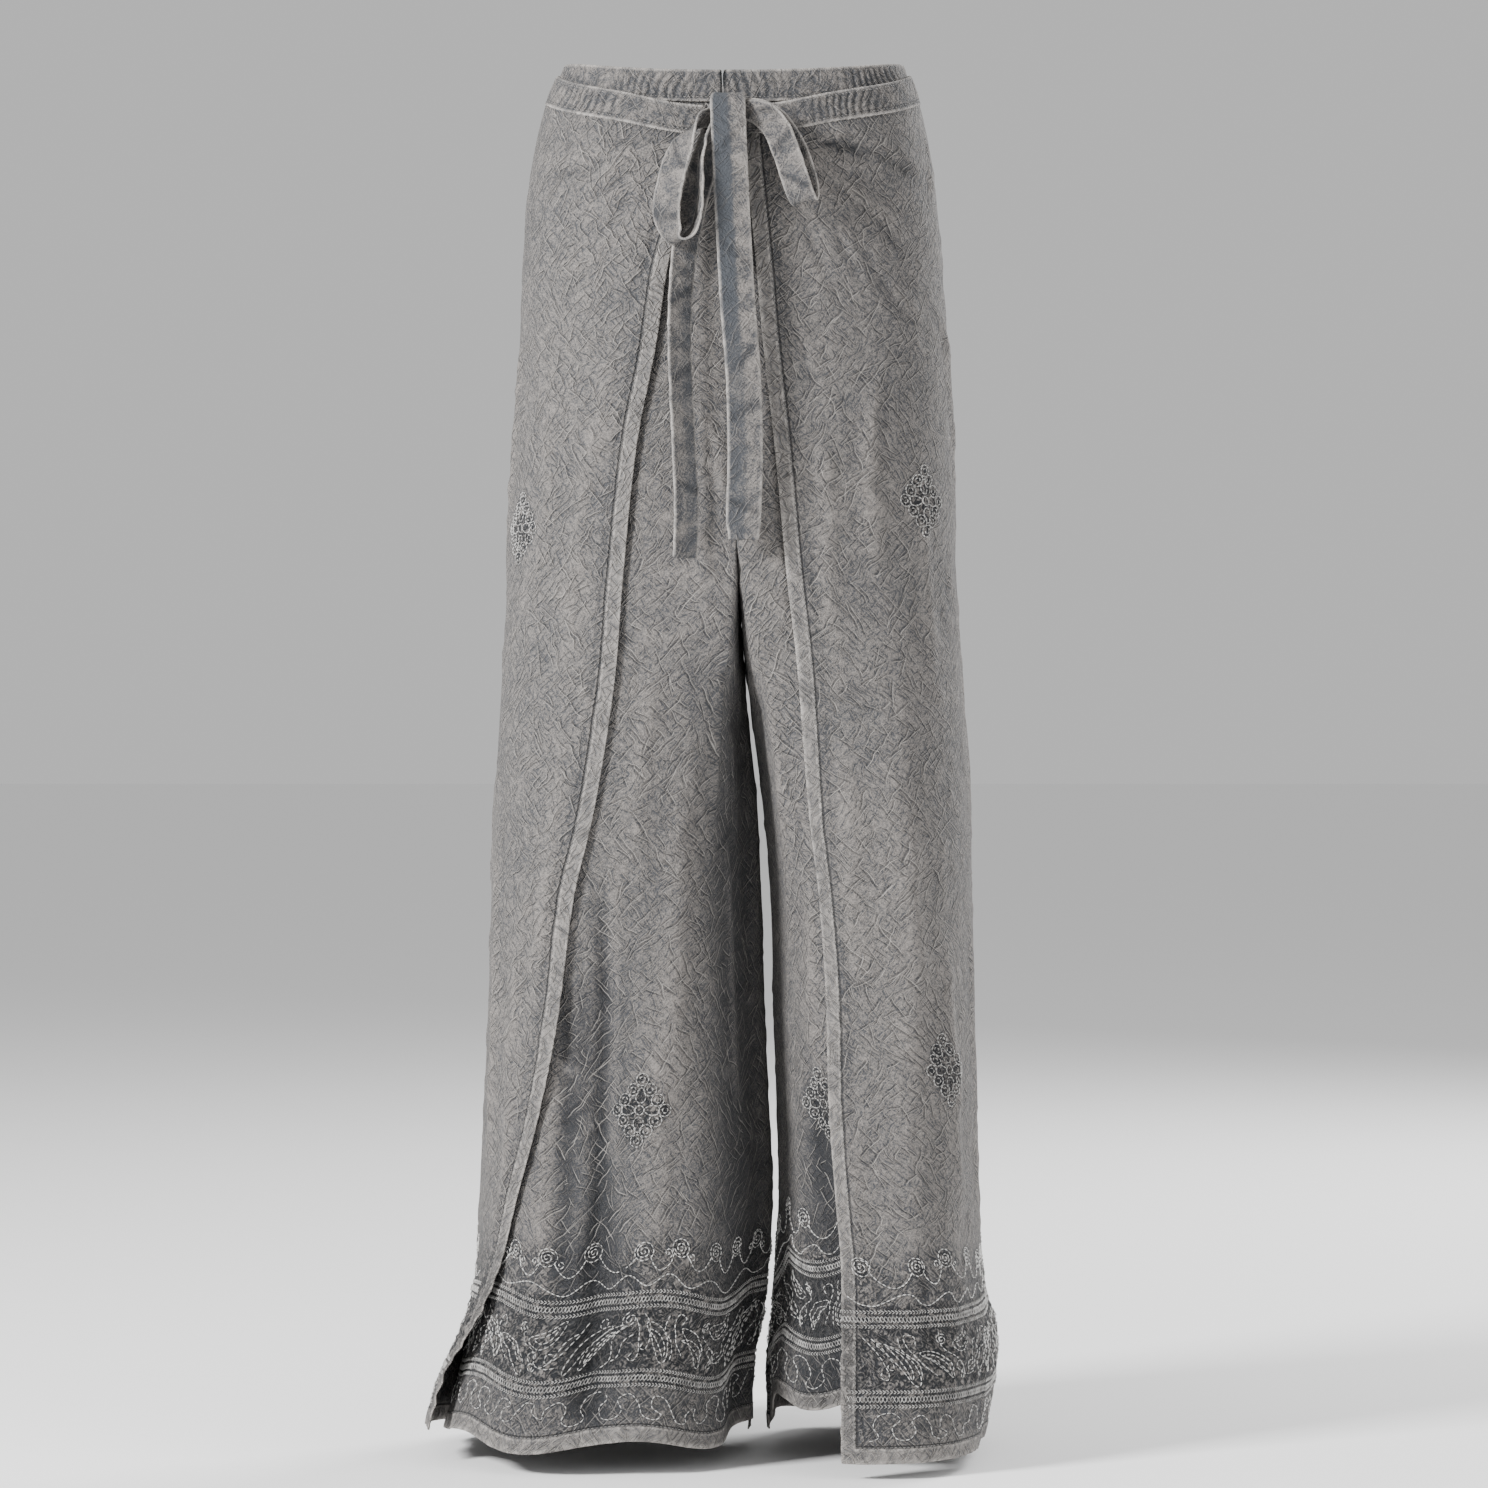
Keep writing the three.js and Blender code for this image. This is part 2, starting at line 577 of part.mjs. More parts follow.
const LEFT_LOOP = [
  { x: 2, y: -112, z: -46, wx: -0.1, wy: -0.3, wz: 0.95 },
  { x: 16, y: -118, z: -47, wx: 0.35, wy: -0.35, wz: 0.85 },
  { x: 29, y: -120, z: -58, wx: 0.8, wy: -0.3, wz: 0.5 },
  { x: 38, y: -120, z: -79, wx: 0.93, wy: -0.28, wz: 0.22 },
  { x: 46, y: -119, z: -103, wx: 0.93, wy: -0.28, wz: 0.2 },
  { x: 50.5, y: -114.5, z: -110, wx: 0.93, wy: -0.28, wz: 0.2 },
  { x: 50, y: -111, z: -98, wx: 0.93, wy: -0.28, wz: 0.25 },
  { x: 42, y: -110.5, z: -74, wx: 0.93, wy: -0.28, wz: 0.3 },
  { x: 29, y: -110.5, z: -54, wx: 0.6, wy: -0.3, wz: 0.7 },
  { x: 12, y: -109, z: -45, wx: 0.1, wy: -0.3, wz: 0.95 },
  { x: 0, y: -107, z: -45, wx: 0, wy: -0.2, wz: 0.97 },
];
const CENTRE_TAIL = [
  { x: -6, y: -108, z: -36, wx: 1, wy: 0 },
  { x: -5, y: -114.5, z: -35, wx: 1, wy: 0 },
  { x: -5, y: -122, z: -41, wx: 1, wy: 0 },
  { x: -4.5, y: -125, z: -55, wx: 1, wy: 0 },
  { x: -3.5, y: -124.5, z: -80, wx: 1, wy: 0 },
  { x: -2, y: -121, z: -112, wx: 1, wy: 0.04 },
  { x: 2, y: -117, z: -183, wx: 1, wy: 0.08 },
  { x: 6, y: -115, z: -235, wx: 1, wy: 0.12 },
  { x: 7.5, y: -115, z: -290, wx: 1, wy: 0.05 },
  { x: 6.5, y: -113, z: -333, wx: 1, wy: 0 },
  { x: 6.5, y: -112, z: -353, wx: 1, wy: 0 },
];
const RIGHT_TAIL = [
  { x: -11, y: -104.5, z: -55, wx: 0.9, wy: 0.05, wz: 0.4 },
  { x: -19, y: -104, z: -74, wx: 0.97, wy: 0.1, wz: 0.2 },
  { x: -30, y: -105, z: -112, wx: 0.98, wy: 0.15, wz: 0.1 },
  { x: -38, y: -107, z: -160, wx: 0.85, wy: 0.5, wz: 0 },
  { x: -40, y: -109, z: -213, wx: 0.8, wy: 0.55, wz: 0 },
  { x: -37, y: -109, z: -286, wx: 0.8, wy: 0.55, wz: 0 },
  { x: -35, y: -109, z: -331, wx: 0.85, wy: 0.5, wz: 0 },
  { x: -36, y: -109, z: -366, wx: 0.8, wy: 0.5, wz: 0 },
];

// The front panels' own ties run round the back under the back band and are knotted there
const BACK_KNOT = { x: -9, y: 86, z: -12, width: 28, depth: 12, height: 21 };
const tieOffset = (turn) => FRONT_BAND_OFFSET - 0.3 - 5 * smooth((turn - 0.7) / 0.12);
const tieTop = () => -3;
const backTie = (leg) =>
  waistStrip(leg, FRONT_PANEL_END + 0.0015, 1 - CORNER - 0.01, 14, tieOffset, tieTop, 15, TIE_WALL);
const backTail = (side) =>
  [0, 1, 2, 3, 4].map((k) => ({
    x: BACK_KNOT.x + side * (9.5 + 3.2 * k),
    y: BACK_KNOT.y + 4 + (k > 0 ? 2.6 * k ** 0.8 : 0),
    z: BACK_KNOT.z - 7 - 37 * k,
    wx: 1,
    wy: 0,
  }));

const CLOTH_COLOUR = 0x8b8986;
const SHADED_COLOUR = 0x7c7b79;
const group = new THREE.Group();
function add(name, geometry, color = CLOTH_COLOUR) {
  geometry.computeVertexNormals();
  const material = new THREE.MeshStandardMaterial({ color, roughness: 0.85, metalness: 0 });
  material.side = THREE.DoubleSide;
  const mesh = new THREE.Mesh(geometry, material);
  mesh.name = name;
  group.add(mesh);
}

const aroundKnot = knotShape(KNOT, SEAM_GAP);
const aroundBackKnot = knotShape(BACK_KNOT, SEAM_GAP);
for (const [name, leg] of Object.entries(LEGS)) {
  add(`front_panel_${name}`, frontPanel(leg), SHADED_COLOUR);
  add(`back_panel_${name}`, backPanel(leg));
  add(`front_band_${name}`, frontBand(leg));
  add(`front_tie_${name}`, cut(backTie(leg), aroundBackKnot));
  add(`front_tie_tail_${name}`, cut(strip(backTail(leg.side), 15, 8), aroundBackKnot));
}
add("back_band", cut(backBand(), aroundKnot));
add("knot", knotShape(KNOT));
add("front_tie_knot", knotShape(BACK_KNOT));
const endWidth = (share) => TIE_WIDTH * (0.72 + 0.28 * smooth(share * 5)) * (1 - 0.15 * smooth((share - 0.92) / 0.08));
const loopWidth = (broad) => (share) => broad * (0.55 + 0.45 * smooth(Math.min(share, 1 - share) * 6));
add("bow_loop_right", cut(strip(RIGHT_LOOP, loopWidth(TIE_WIDTH - 2), 26), aroundKnot));
add("bow_loop_left", cut(strip(LEFT_LOOP, loopWidth(TIE_WIDTH - 5), 26), aroundKnot));
add("bow_tail_centre", cut(strip(CENTRE_TAIL, endWidth, 24), aroundKnot));
add("bow_tail_right", cut(strip(RIGHT_TAIL, TIE_WIDTH - 5, 20), aroundKnot));

export default group;
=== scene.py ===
# %% [markdown]
# # Wrap pants in crinkled, stonewashed rayon
# The garment is four leg panels. Two front panels lie inside, two wider back panels come
# round the hips over them as flaps, and the back band's ties make a bow at the front.
# Nobody wears it here, but it keeps the worn form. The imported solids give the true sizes,
# so this script loads them first and then lays a finer cloth over each one.

# %% Load the solids and note their box
import bpy
import numpy as np
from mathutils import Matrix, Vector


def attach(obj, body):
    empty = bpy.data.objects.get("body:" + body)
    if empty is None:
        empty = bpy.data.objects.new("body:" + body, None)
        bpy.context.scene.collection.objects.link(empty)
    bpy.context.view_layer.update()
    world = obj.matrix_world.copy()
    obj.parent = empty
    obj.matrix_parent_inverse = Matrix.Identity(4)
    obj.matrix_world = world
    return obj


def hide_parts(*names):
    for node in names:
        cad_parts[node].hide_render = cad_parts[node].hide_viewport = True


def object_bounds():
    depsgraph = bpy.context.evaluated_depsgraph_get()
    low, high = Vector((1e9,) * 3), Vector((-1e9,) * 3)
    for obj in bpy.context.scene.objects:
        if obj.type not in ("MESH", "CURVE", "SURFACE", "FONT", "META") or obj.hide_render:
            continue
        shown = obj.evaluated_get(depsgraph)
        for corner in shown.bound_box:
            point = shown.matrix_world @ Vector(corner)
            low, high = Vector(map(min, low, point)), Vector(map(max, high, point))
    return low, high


def put(name, data):
    """A new object with this data, linked to the scene."""
    new = bpy.data.objects.new(name, data)
    bpy.context.scene.collection.objects.link(new)
    return new


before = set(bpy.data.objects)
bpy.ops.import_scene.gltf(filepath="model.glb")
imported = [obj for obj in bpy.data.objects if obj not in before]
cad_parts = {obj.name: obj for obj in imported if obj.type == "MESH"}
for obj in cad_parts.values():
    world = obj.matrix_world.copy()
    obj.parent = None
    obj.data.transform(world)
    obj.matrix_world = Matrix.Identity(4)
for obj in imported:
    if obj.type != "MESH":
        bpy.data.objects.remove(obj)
solid_box = [[float(v) for v in corner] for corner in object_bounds()]
print("solids' box in metres:", np.round(solid_box, 3).tolist())

# %% [markdown]
# The camera comes early, so that each new piece can be looked at from the right place. The
# photo was taken from the front, level with the knees, with a long lens some way off. That
# keeps the legs nearly parallel. A camera that stands too close would swell the hips.

# %% Camera in front, level with the middle of the garment
camera_data = bpy.data.cameras.new("front_camera")
camera_data.lens = 117.7
camera_data.sensor_width = 36
camera = put("front_camera", camera_data)
camera.location = (0.0067, -3.6, -0.5)
camera.rotation_euler = (np.pi / 2, 0, 0)
bpy.context.scene.camera = camera

# %% [markdown]
# Cloth has no flat faces to measure, so the shape is kept in short tables: how far the
# garment reaches at each height. A smooth curve through the rows gives every height in
# between. The alternative, sculpting by hand, could not be checked against the sizes.

# %% Tables and smooth curves through them
MM = 0.001


def table(names, *rows):
    """A table's columns by name, each as an array."""
    return dict(zip(names.split(), np.array(rows, dtype=float).T))


def through(rows, key, column, at):
    """Cubic between neighbouring rows, whose slope at a row is the mean slope around it."""
    x, y = rows[key], rows[column]
    if x[0] > x[-1]:
        x, y = x[::-1], y[::-1]
    row = np.arange(len(x))
    after, before = np.minimum(row + 1, len(x) - 1), np.maximum(row - 1, 0)
    slope = (y[after] - y[before]) / (x[after] - x[before])
    i = np.clip(np.searchsorted(x, at, side="right") - 1, 0, len(x) - 2)
    span = x[i + 1] - x[i]
    t = np.clip((at - x[i]) / span, 0, 1)
    start = (2 * t**3 - 3 * t**2 + 1) * y[i] + (t**3 - 2 * t**2 + t) * span * slope[i]
    return start + (3 * t**2 - 2 * t**3) * y[i + 1] + (t**3 - t**2) * span * slope[i + 1]


def smooth(t):
    """0 below 0, 1 above 1, and 3t^2 - 2t^3 between."""
    t = np.clip(t, 0, 1)
    return t * t * (3 - 2 * t)


def mix(a, b, t):
    """a at t = 0 and b at t = 1."""
    return a + (b - a) * t


def between(x, low, rise, high, fall):
    """Rises from 0 to 1 above low, and is back at 0 at high, over the two widths given."""
    return smooth((x - low) / rise) * smooth((high - x) / fall)


def zipped(*columns):
    """The columns side by side along a last axis, stretched to one shape."""
    return np.stack(np.broadcast_arrays(*columns), axis=-1)


def unit(vectors):
    """The same directions, each with length 1."""
    return vectors / (np.linalg.norm(vectors, axis=-1, keepdims=True) + 1e-12)


def lengths(points):
    """How far along a line each of its points lies."""
    return np.concatenate([[0], np.cumsum(np.linalg.norm(np.diff(points, axis=0), axis=1))])


PARTING = table(
    "z x gap",
    (40, -9, 0.2), (0, -9, 0.2), (-100, -7, 0.2), (-250, -2, 0.2), (-400, 4, 0.2),
    (-470, 10, 1.2), (-545, 18.5, 2), (-615, 23, 3.4), (-690, 25, 3), (-765, 28, 2.6),
    (-840, 30, 2), (-915, 25, 2.6), (-960, 19, 5), (-1040, 20, 8),
)
RIGHT_REACH = table(
    "z outer front back",
    (40, 124, 91, 88), (0, 129, 92, 92), (-25, 139, 94, 98), (-60, 148, 96, 104),
    (-100, 154, 97, 110), (-170, 158, 98, 116), (-245, 161, 98, 114), (-320, 165, 98, 108),
    (-395, 169, 98, 104), (-545, 177, 101, 103), (-690, 181, 107, 109),
    (-840, 188, 117, 122), (-900, 191, 122, 129), (-950, 202, 127, 135),
    (-1040, 226, 134, 144),
)
LEFT_REACH = table(
    "z outer front back",
    (40, 122, 91, 88), (0, 128, 92, 92), (-25, 136, 94, 98), (-60, 144, 96, 104),
    (-100, 149.5, 97, 110), (-170, 155, 98, 116), (-245, 159, 98, 114),
    (-320, 161, 98, 108), (-395, 164, 98, 104), (-545, 172, 101, 104),
    (-690, 175, 107, 112), (-840, 179, 117, 128), (-900, 183, 123, 136),
    (-950, 193, 128, 142), (-1040, 176, 136, 150),
)
RIGHT_FLAP = table(
    "z x",
    (-40, -17), (-100, -31), (-150, -47), (-213, -57), (-285, -71), (-380, -81),
    (-455, -87), (-550, -102), (-610, -116), (-700, -128), (-770, -142), (-830, -158),
    (-880, -170), (-925, -184), (-965, -201), (-1040, -213),
)
LEFT_FLAP = table(
    "z x",
    (-40, 5), (-85, 9), (-157, 16), (-213, 21), (-275, 28), (-380, 38), (-440, 45),
    (-550, 54), (-610, 61), (-680, 66), (-760, 68), (-830, 73), (-880, 77), (-1040, 80),
)
LEGS = {
    "right": dict(name="right", side=-1, reach=RIGHT_REACH, flap=RIGHT_FLAP),
    "left": dict(name="left", side=1, reach=LEFT_REACH, flap=LEFT_FLAP),
}
print("hips are", RIGHT_REACH["outer"][6] + LEFT_REACH["outer"][6], "mm wide")

# %% [markdown]
# A pair of trousers is one tube at the hips and two tubes below. To make that one smooth
# surface, each leg is a turn round a closed line: half a rounded body above the crotch, and
# a whole round leg below it. The two forms are mixed over a hand's breadth or two.

# %% The plain form of a leg
CROTCH_Z, RISE, DROP = -400, 90, 280
CORNER = 0.14  # the share of a turn from the inseam to the centre seam
ROUNDNESS = 2.25


def crotch_height(turn):
    """Height of the seam that runs from the centre seams in a quarter ellipse to the crotch."""
    share = np.clip(np.minimum(turn, 1 - turn) / CORNER, 0, 1)
    return CROTCH_Z + RISE * (1 - np.sqrt(1 - share**2))


def inner_turn(z):
    """The same curve the other way round: the turn at which a panel begins at a height."""
    t = np.clip((z - CROTCH_Z) / RISE, 0, 1)
    return CORNER * np.sqrt(1 - (1 - t) ** 2)


def plain(leg, turn, z):
    """A leg's x and y: a superellipse below, and above it a flat side and two quarters of one."""
    reach, power = leg["reach"], 2 / ROUNDNESS
    inner = through(PARTING, "z", "x", z) + leg["side"] * through(PARTING, "z", "gap", z)
    outer = leg["side"] * through(reach, "z", "outer", z)
    front, back = -through(reach, "z", "front", z), through(reach, "z", "back", z)
    middle, near = (front + back) / 2, np.minimum(turn, 1 - turn)
    far = np.where(turn < 0.5, front, back)
    cosine = np.cos(2 * np.pi * near)
    round_x = mix(inner, outer, (1 - np.sign(cosine) * np.abs(cosine) ** power) / 2)
    round_y = mix(middle, far, np.abs(np.sin(2 * np.pi * near)) ** power)
    quarter = np.pi / 2 * np.clip((near - CORNER) / (0.5 - CORNER), 0, 1)
    half_x = mix(inner, outer, np.sin(quarter) ** power)
    flat = np.clip(near / CORNER, 0, 1)
    half_y = mix(middle, far, np.where(near > CORNER, np.abs(np.cos(quarter)) ** power, flat))
    share = smooth((crotch_height(turn) - z) / DROP)
    return mix(half_x, round_x, share), mix(half_y, round_y, share)


def outward(leg, turn, z):
    """The level direction away from the leg: square to the step between two near turns."""
    step = 0.004
    past = (turn + step > 1 - CORNER) & (turn <= 1 - CORNER)
    short = (turn - step < CORNER) & (turn >= CORNER)
    ax, ay = plain(leg, np.where(short, turn, np.maximum(0, turn - step)), z)
    bx, by = plain(leg, np.where(past, turn, np.minimum(1, turn + step)), z)
    length = np.hypot(bx - ax, by - ay) + 1e-9
    return leg["side"] * (by - ay) / length, leg["side"] * (ax - bx) / length


# %% [markdown]
# The largest folds are named one by one, because a viewer reads them: the deep valley on
# the right front leg, the tubes at the back, and the gathers that fan out from the knot.
# Each is a soft ridge or hollow with a bell-shaped section. They are the same as in the
# solids, so that the finer cloth lies on them.

# %% The main folds and the gathers
FOLDS = {
    "right": [
        # layer, measured along, side that it is on, top z and place, low z and place, depth, half
        ("front", "x", -1, -560, -92, -960, -104, -17, 17),
        ("front", "x", -1, -640, -124, -900, -131, -9, 12),
        ("front", "x", -1, -350, 2, -980, 17, -9, 22),
        ("all", "x", 1, -250, -75, -1030, -118, 7, 26),
        ("all", "x", 1, -330, -30, -1030, -48, 9, 24),
        ("all", "x", 1, -520, -122, -1030, -176, 6, 20),
        ("all", "y", 0, -420, 34, -1030, 52, 6, 28),
    ],
    "left": [
        ("all", "x", -1, -330, 112, -1030, 136, 5, 17),
        ("all", "x", -1, -560, 148, -1030, 156, 4, 12),
        ("front", "x", -1, -700, 58, -1000, 66, -12, 16),
        ("front", "x", -1, -860, 36, -985, 50, -8, 11),
        ("all", "x", 1, -250, 72, -1030, 108, 7, 26),
        ("all", "x", 1, -330, 32, -1030, 58, 9, 24),
        ("all", "x", 1, -520, 118, -1030, 148, 6, 18),
        ("all", "y", 0, -420, 30, -1030, 56, 6, 28),
    ],
}
GATHERS = table(
    "angle reach depth",
    (9, 95, 2.2), (21, 135, 2.6), (35, 165, 3.0), (50, 185, 2.6), (64, 170, 2.0),
)
KNOT_X, KNOT_Z = -5, -47
BACK_BAND_TOP = table(
    "turn z",
    (0.1, -42), (0.18, -39), (0.26, -29), (0.36, -19), (0.46, -9), (0.56, -3), (0.7, 0), (1, 0),
)
BACK_BAND_HEIGHT, FRONT_BAND_HEIGHT, WAIST_DIP, WAIST_FRONT = 20, 22, 14, 92


def bell(distance, half):
    """1 in the middle, and e to the minus square of distance over half width beside it."""
    return np.exp(-((distance / half) ** 2))


def back_band_top(turn):
    """Height of the back band's top edge along the turn."""
    return through(BACK_BAND_TOP, "turn", "z", turn)


def fold_height(leg, layer, turn, z, x, y):
    """The sum of all the folds' bells, each faded in and out along its length."""
    height = np.zeros(np.broadcast(turn, z).shape)
    for on, along, face, top, at, low, to, depth, half in FOLDS[leg["name"]]:
        if on not in ("all", layer):
            continue
        down = (z - top) / (low - top)
        fade = smooth(down * 2.5) * smooth((1.12 - down) * 8)
        here = {-1: turn <= 0.5, 1: turn >= 0.5, 0: np.abs(turn - 0.5) <= 0.24}[face]
        distance = (x if along == "x" else y) - mix(at, to, down)
        height = height + here * depth * fade * bell(distance, half)
    across, below = np.abs(x - KNOT_X), KNOT_Z - z
    distance, angle = np.hypot(across, below), np.degrees(np.arctan2(below, across))
    start = smooth((distance - 16) / 30) * smooth((back_band_top(turn) - BACK_BAND_HEIGHT - z) / 25)
    for fan, reach, depth in zip(*GATHERS.values()):
        fade = start * smooth((reach - distance) / 90)
        height = height + (turn < 0.5) * depth * fade * bell(angle - fan, 5.5)
    near = np.minimum(turn, 1 - turn)
    sink = height * smooth((near - inner_turn(z)) / 0.04)
    return np.where(height > 0, height * smooth((near - CORNER) / 0.04), sink)


# %% [markdown]
# Each panel is a grid: one way from its seam between the legs to its free edge, the other
# way from the band down to the hem. The front panels lie 4 mm inside the flaps. The flaps'
# low corners swing away from them, as they do when such trousers are worn.

# %% Where each panel begins, ends and lies
LAP, FRONT_END, HEM_Z, FIRST_ROW, TOP_ROWS_END, HEM_ROWS_START = 4, 0.585, -1005, -56, -255, -820


def flap_turns(leg):
    """Halving 24 times finds the turn where the front of a leg has the flap edge's x."""
    z = np.linspace(-1040, -20, 256)
    x = through(leg["flap"], "z", "x", z)
    low, high = inner_turn(z), np.full(z.shape, 0.5)
    for _ in range(24):
        middle = (low + high) / 2
        short = (plain(leg, middle, z)[0] - x) * leg["side"] < 0
        low, high = np.where(short, middle, low), np.where(short, high, middle)
    return z, (low + high) / 2


for leg in LEGS.values():
    leg["flap_turns"] = flap_turns(leg)


def flap_turn(leg, z):
    """The turn of the flap's free edge at a height."""
    return np.interp(z, *leg["flap_turns"])


def column_turn(z, s, inner, end):
    """Two straight stretches, which meet on the fold beside the crotch at share inner."""
    start = inner_turn(z)
    even = start + (end - start) * inner
    fold = CORNER + 0.03 * smooth((z - CROTCH_Z - 0.62 * RISE) / 30)
    fold = mix(fold, even, smooth((z - CROTCH_Z - RISE) / 130))
    return np.where(s <= inner, mix(start, fold, s / inner), mix(fold, end, (s - inner) / (1 - inner)))


def panel_turn(panel, s, z):
    """The turn at share s of a panel's width, from its seam to its free edge."""
    if panel["layer"] == "front":
        return column_turn(z, s, 0.25, FRONT_END)
    return 1 - column_turn(z, s, 0.2, 1 - flap_turn(panel["leg"], z))


def waist_top(leg, turn):
    """Height of the front band's top: it dips by the square of how far forward it lies."""
    return -WAIST_DIP * np.clip(-plain(leg, turn, np.zeros_like(turn))[1] / WAIST_FRONT, 0, 1) ** 2


def hem_height(panel, s):
    """Height of a panel's hem: a wave, and a lift where the left front rests on the instep."""
    leg = panel["leg"]
    if panel["layer"] == "front":
        turn = mix(0, FRONT_END, s)
        caught = smooth((0.36 - turn) / 0.1) * smooth(turn / 0.06) * (27 if leg["side"] > 0 else 0)
        return HEM_Z + 5 * np.sin(turn * 31 + 1) + 2 + caught
    turn = mix(1, flap_turn(leg, -1000), s)
    share = smooth((0.62 - turn) / 0.2)
    return HEM_Z + 4 * np.sin(turn * 27 + 2) * (1 - share) + share * (6 if leg["side"] < 0 else -7)


def row_height(panel, s, row):
    """A row's height, stretched near the top to meet the band and near the foot to the hem."""
    up = np.clip((row - TOP_ROWS_END) / (FIRST_ROW - TOP_ROWS_END), 0, 1)
    down = np.clip((HEM_ROWS_START - row) / (HEM_ROWS_START - HEM_Z), 0, 1)
    z = row + np.zeros_like(s)
    for _ in range(1 if panel["layer"] == "front" else 5):
        if panel["layer"] == "front":
            top = waist_top(panel["leg"], mix(CORNER, FRONT_END, s)) - FRONT_BAND_HEIGHT
        else:
            top = back_band_top(panel_turn(panel, s, z)) - BACK_BAND_HEIGHT
        z = row + (top - 0.4 - FIRST_ROW) * up + (hem_height(panel, s) - HEM_Z) * down
    return z


def rest_offset(panel, turn, z):
    """How far a panel lies outside the plain form: -4 mm in front, and out at a flap's corner."""
    if panel["layer"] == "front":
        start = CORNER * smooth((z - CROTCH_Z + 120) / 120)
        return -LAP * np.maximum(smooth((turn - start) / 0.05), smooth((z - CROTCH_Z - RISE) / 60))
    near_edge = smooth(1 - (turn - flap_turn(panel["leg"], z)) / 0.13)
    return smooth((-z - 860) / 130) * near_edge * (16 if panel["leg"]["side"] < 0 else 7)


PANELS = {
    f"{layer}_panel_{side}": dict(name=f"{layer}_panel_{side}", layer=layer, leg=LEGS[side])
    for layer in ("front", "back") for side in ("right", "left")
}

# %% [markdown]
# Patterns on cloth follow the cloth, so each panel also gets its own ruler: how many
# millimetres of fabric lie between the outer side of the leg and any point. It counts from
# there and not from the seam, because the seam jumps sideways at the crotch. It is a table
# of lengths on a coarse grid, and a bilinear look-up reads it anywhere.


# %% A ruler along each panel
def bilinear(values, i, j):
    """The four entries round a place between rows and columns, weighted by nearness."""
    i, j = np.clip(i, 0, values.shape[0] - 1.001), np.clip(j, 0, values.shape[1] - 1.001)
    i0, j0 = i.astype(int), j.astype(int)
    down, across = i - i0, j - j0
    if values.ndim > 2:
        down, across = down[..., None], across[..., None]
    low = mix(values[i0, j0], values[i0, j0 + 1], across)
    return mix(low, mix(values[i0 + 1, j0], values[i0 + 1, j0 + 1], across), down)


def look_up(values, rows, columns, row, column):
    """Reads a table whose rows and columns stand for evenly spaced numbers."""
    i, j = (row - rows[0]) / (rows[1] - rows[0]), (column - columns[0]) / (columns[1] - columns[0])
    return bilinear(values, i, j)


def on_leg(panel, s, z):
    """The turn at share s and height z, the plain form's x and y there, and the folds' height."""
    turn = panel_turn(panel, s, z)
    x, y = plain(panel["leg"], turn, z)
    return turn, x, y, fold_height(panel["leg"], panel["layer"], turn, z, x, y)


RULER_Z, RULER_S = np.linspace(-1020, -30, 100), np.linspace(0, 1, 161)
CELL = 2.0
for panel in PANELS.values():
    z, s = np.meshgrid(RULER_Z, RULER_S, indexing="ij")
    turn, x, y, fold = on_leg(panel, s, z)
    nx, ny = outward(panel["leg"], turn, z)
    out = rest_offset(panel, turn, z) + fold
    steps = np.hypot(np.diff(x + nx * out, axis=1), np.diff(y + ny * out, axis=1))
    length = np.concatenate([np.zeros((len(z), 1)), np.cumsum(steps, axis=1)], axis=1)
    side = np.argmin(np.abs(turn - 0.5), axis=1)
    panel["ruler"] = length - np.take_along_axis(length, side[:, None], axis=1)
    panel["marks"] = np.arange(panel["ruler"].min(), panel["ruler"].max() + CELL, CELL)
    panel["shares"] = np.stack([np.interp(panel["marks"], row, RULER_S) for row in panel["ruler"]])
    panel["rule_x"], panel["rule_y"], panel["rule_turn"] = x, y, turn
    print(panel["name"], "is", round(np.ptp(panel["ruler"][4])), "mm wide at the hem")


def along(panel, s, z):
    """Millimetres of cloth from the outer side to share s, negative towards the seam."""
    return look_up(panel["ruler"], RULER_Z, RULER_S, z, s)


def share_at(panel, u, z):
    """The other way round: the share at u millimetres of cloth from the outer side."""
    return look_up(panel["shares"], RULER_Z, panel["marks"], z, u)


def seam_at(panel, z):
    """Where the seam lies on the ruler."""
    return np.interp(z, RULER_Z, panel["ruler"][:, 0])


def edge_at(panel, z):
    """Where the free edge lies on the ruler."""
    return np.interp(z, RULER_Z, panel["ruler"][:, -1])


def ruler_at(panel, place, z, face):
    """Where a point lies on the ruler, from its x (front, back) or y (side) and its height."""
    row = int(np.clip(round((z - RULER_Z[0]) / 10), 0, len(RULER_Z) - 1))
    turn = panel["rule_turn"][row]
    on_face = {"front": turn < 0.5, "back": turn > 0.5, "side": np.abs(turn - 0.5) < 0.3}[face]
    values = panel["rule_y" if face == "side" else "rule_x"][row]
    return panel["ruler"][row, int(np.argmin(np.where(on_face, np.abs(values - place), 1e6)))]
